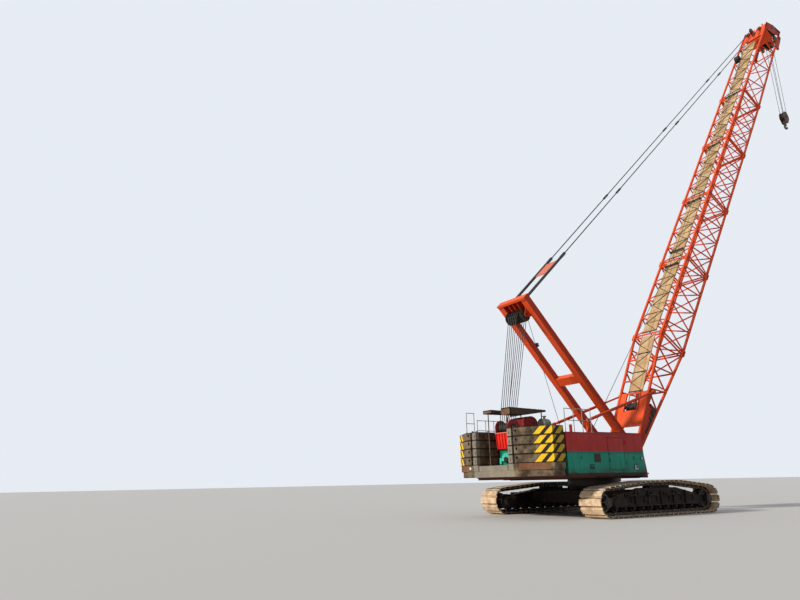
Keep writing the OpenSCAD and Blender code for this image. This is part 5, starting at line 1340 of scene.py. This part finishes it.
# taller rail on the left counterweight stack
post_y, post_top = 2.9, 4.90
rails = [rod((-5.515, post_y, z), (-5.005, post_y, z), 0.016, 8) for z in (post_top, 4.38)]
for x in (-5.50, -5.02):
    rails.append(rod((x, post_y, stack_top - 0.01), (x, post_y, post_top), 0.018, 8))
    rails.append(block((x - 0.05, post_y - 0.05, stack_top - 0.002),
                       (x + 0.05, post_y + 0.05, stack_top + 0.01), 0.002))
assembled("stack_rail", rails, zinc, "superstructure")

# Mast: two welded box legs joined by a cross beam and the head box with its
# sheaves; its lit edges are bright orange, and small fittings sit on the legs.
mast_place = Matrix.Translation(foot_pin) @ Matrix.Rotation(math.radians(47.3 - 180), 4, "Y")


coat(steel, "mast_sheaves")
leg_y, leg_face = 0.83, 0.160
ribs = []
for side in (-1, 1):
    inner, outer = side * leg_y - 0.185, side * leg_y + 0.185
    for t in (1.6, 3.2, 6.0, 7.6):
        ribs += [block((t - 0.02, inner, z), (t + 0.02, outer, z + 0.012), 0.003)
                 for z in (-leg_face - 0.012, leg_face)]
    # small brackets and the pipe along the leg
    near, far = sorted((side, side * 1.04))
    ribs += [block((t - 0.05, near, -0.12), (t + 0.05, far, -0.02)) for t in (2.2, 4.0, 6.5)]
    ribs.append(rod((1.2, side * 1.02, -0.07), (8.6, side * 1.02, -0.07), 0.014, 8))
assembled("mast_ribs", ribs, boom_red, "mast", mast_place)
device = [block((7.10, 0.60, -0.30), (7.30, 0.75, -0.165), 0.015),
          rod((7.20, 0.68, -0.30), (7.20, 0.68, -0.38), 0.03, 12)]
device += [block((t - 0.05, -0.88, -0.24), (t + 0.05, -0.80, -0.165), 0.008) for t in (5.9, 6.4)]
assembled("mast_sensor", device, rubber, "mast", mast_place)

# Luffing ropes: ten parts of steel wire rope between the drum on the winch and
# the sheaves of the mast head.


def rope_look(place):
    strands = place.noise(90, 3)
    return {"Base Color": strands.ramp(0.3, 0.7).between((0.020, 0.017, 0.016), (0.085, 0.075, 0.07)),
            "Roughness": 0.6, "Metallic": 0.4, "Normal": place.bump(place.noise(150, 3), 0.002, 0.6)}


rope = finish("wire_rope", rope_look)


def pendant_look(place):
    strands = place.noise(90, 3)
    wire = strands.ramp(0.3, 0.7).between((0.020, 0.014, 0.016), (0.075, 0.055, 0.06))
    out = place.axis("Y")
    plate = (out * out) < 0.165
    return {"Base Color": plate.between(wire, (0.62, 0.15, 0.08)), "Roughness": 0.6,
            "Normal": place.bump(place.noise(120, 3), 0.002, 0.6)}


coat(rope, "hook_falls")
coat(finish("pendant_wire", pendant_look), "pendants")


def taut(name, runs, radius):
    """Straight ropes between the superstructure and a body that it carries."""
    made = joined([rod(a, b, radius, 8) for a, b in runs])
    made.name = made.data.name = name
    made.data.materials.clear()
    made.data.materials.append(rope)
    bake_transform(made)
    bpy.ops.object.select_all(action="DESELECT")


runs = [((luff_x + reel, y, luff_z), (x, y, 9.35))
        for reel, x in ((-0.215, -4.59), (0.215, -3.93)) for y in (-0.28, -0.14, 0, 0.14, 0.28)]
taut("luffing_ropes", runs, 0.016)
taut("tag_rope", [((-1.9, -0.3, 2.75), (-3.93, -0.3, 9.4))], 0.011)

# Hoist rope: from the front drum to the first roller on the boom, along the
# walkway and over the guide sheave to the head sheaves.


def on_boom(t, y, z):
    return boom_place @ Vector((t, y, z))


rope_t = roller_t[0]
rope_z = roller_z + 0.05 + 0.014
taut("hoist_rope_low", [((-0.87, -0.1, 2.78), on_boom(rope_t, -0.1, rope_z))], 0.014)
high_z = guide_z + 0.26
runs = [rod(on_boom(rope_t - 0.01, -0.1, rope_z), on_boom(roller_t[-1], -0.02, rope_z), 0.014, 8),
        rod(on_boom(roller_t[-1], -0.02, rope_z), on_boom(guide_t, 0, high_z), 0.014, 8),
        rod(on_boom(guide_t, 0, high_z), on_boom(sheave_t + 0.30, 0, -0.62), 0.014, 8)]
assembled("hoist_rope_high", runs, rope, "boom")

# Foot fittings: valve blocks, pipes and hose reels that feed the small winch,
# clamped to the right side plate and greasy black.
parts = [block((2.50, -1.0, -0.30), (2.80, -0.93, -0.06), 0.015),
         block((2.86, -0.99, -0.12), (2.98, -0.93, 0.16), 0.012),
         block((2.20, -0.99, -0.26), (2.38, -0.93, -0.08), 0.015)]
parts += [rod((1.35, -0.953, -0.10 - k * 0.045), (2.95, -0.953, -0.20 - k * 0.07), 0.017, 8)
          for k in range(3)]
parts += [rod((2.3, y, foot_z(2.3) - 0.035), (3.6, y, foot_z(3.6) - 0.035), 0.02, 8)
          for y in (-0.34, -0.26, 0.30)]
parts += [hoop((x, y, -0.20), (math.pi / 2, 0, 0), radius, 0.018, 28, 8)
          for x, y, radius in ((2.70, -1.008, 0.11), (2.74, -0.978, 0.085))]
assembled("foot_pipes", parts, rubber, "boom", boom_place)

# Hook block: two cheek plates round the sheaves, gone dark brown with grease,
# with bolted round covers; the forged hook turns below it.


def hook_brown(place):
    tone = place.noise(5, 7).ramp(0.35, 0.70)
    colour = tone.between((0.030, 0.014, 0.009), (0.12, 0.055, 0.03))
    return {"Base Color": colour, "Roughness": 0.6, "Normal": place.bump(place.noise(40, 6), 0.003, 0.6)}


block_paint = finish("hook_brown", hook_brown)
coat(block_paint, "hook_block", "hook")
hook_x, block_z = 27.0046, 30.3
discs = []
for side in (-1, 1):

    def across(x, z, y0, y1, radius, sides):
        """A round part that lies across the block, by its place from the sheaves' axis."""
        return rod((hook_x + x, side * y0, block_z + z), (hook_x + x, side * y1, block_z + z), radius, sides)

    discs.append(soften(across(0, 0, 0.19, 0.205, 0.16, 32), 0.004))
    discs.append(soften(across(0, 0, 0.20, 0.225, 0.06, 24), 0.005))
    discs += [across(x, z, 0.20, 0.216, 0.012, 6) for x, z in on_circle(0.12)]
assembled("block_covers", discs, block_paint, "hook_tackle")
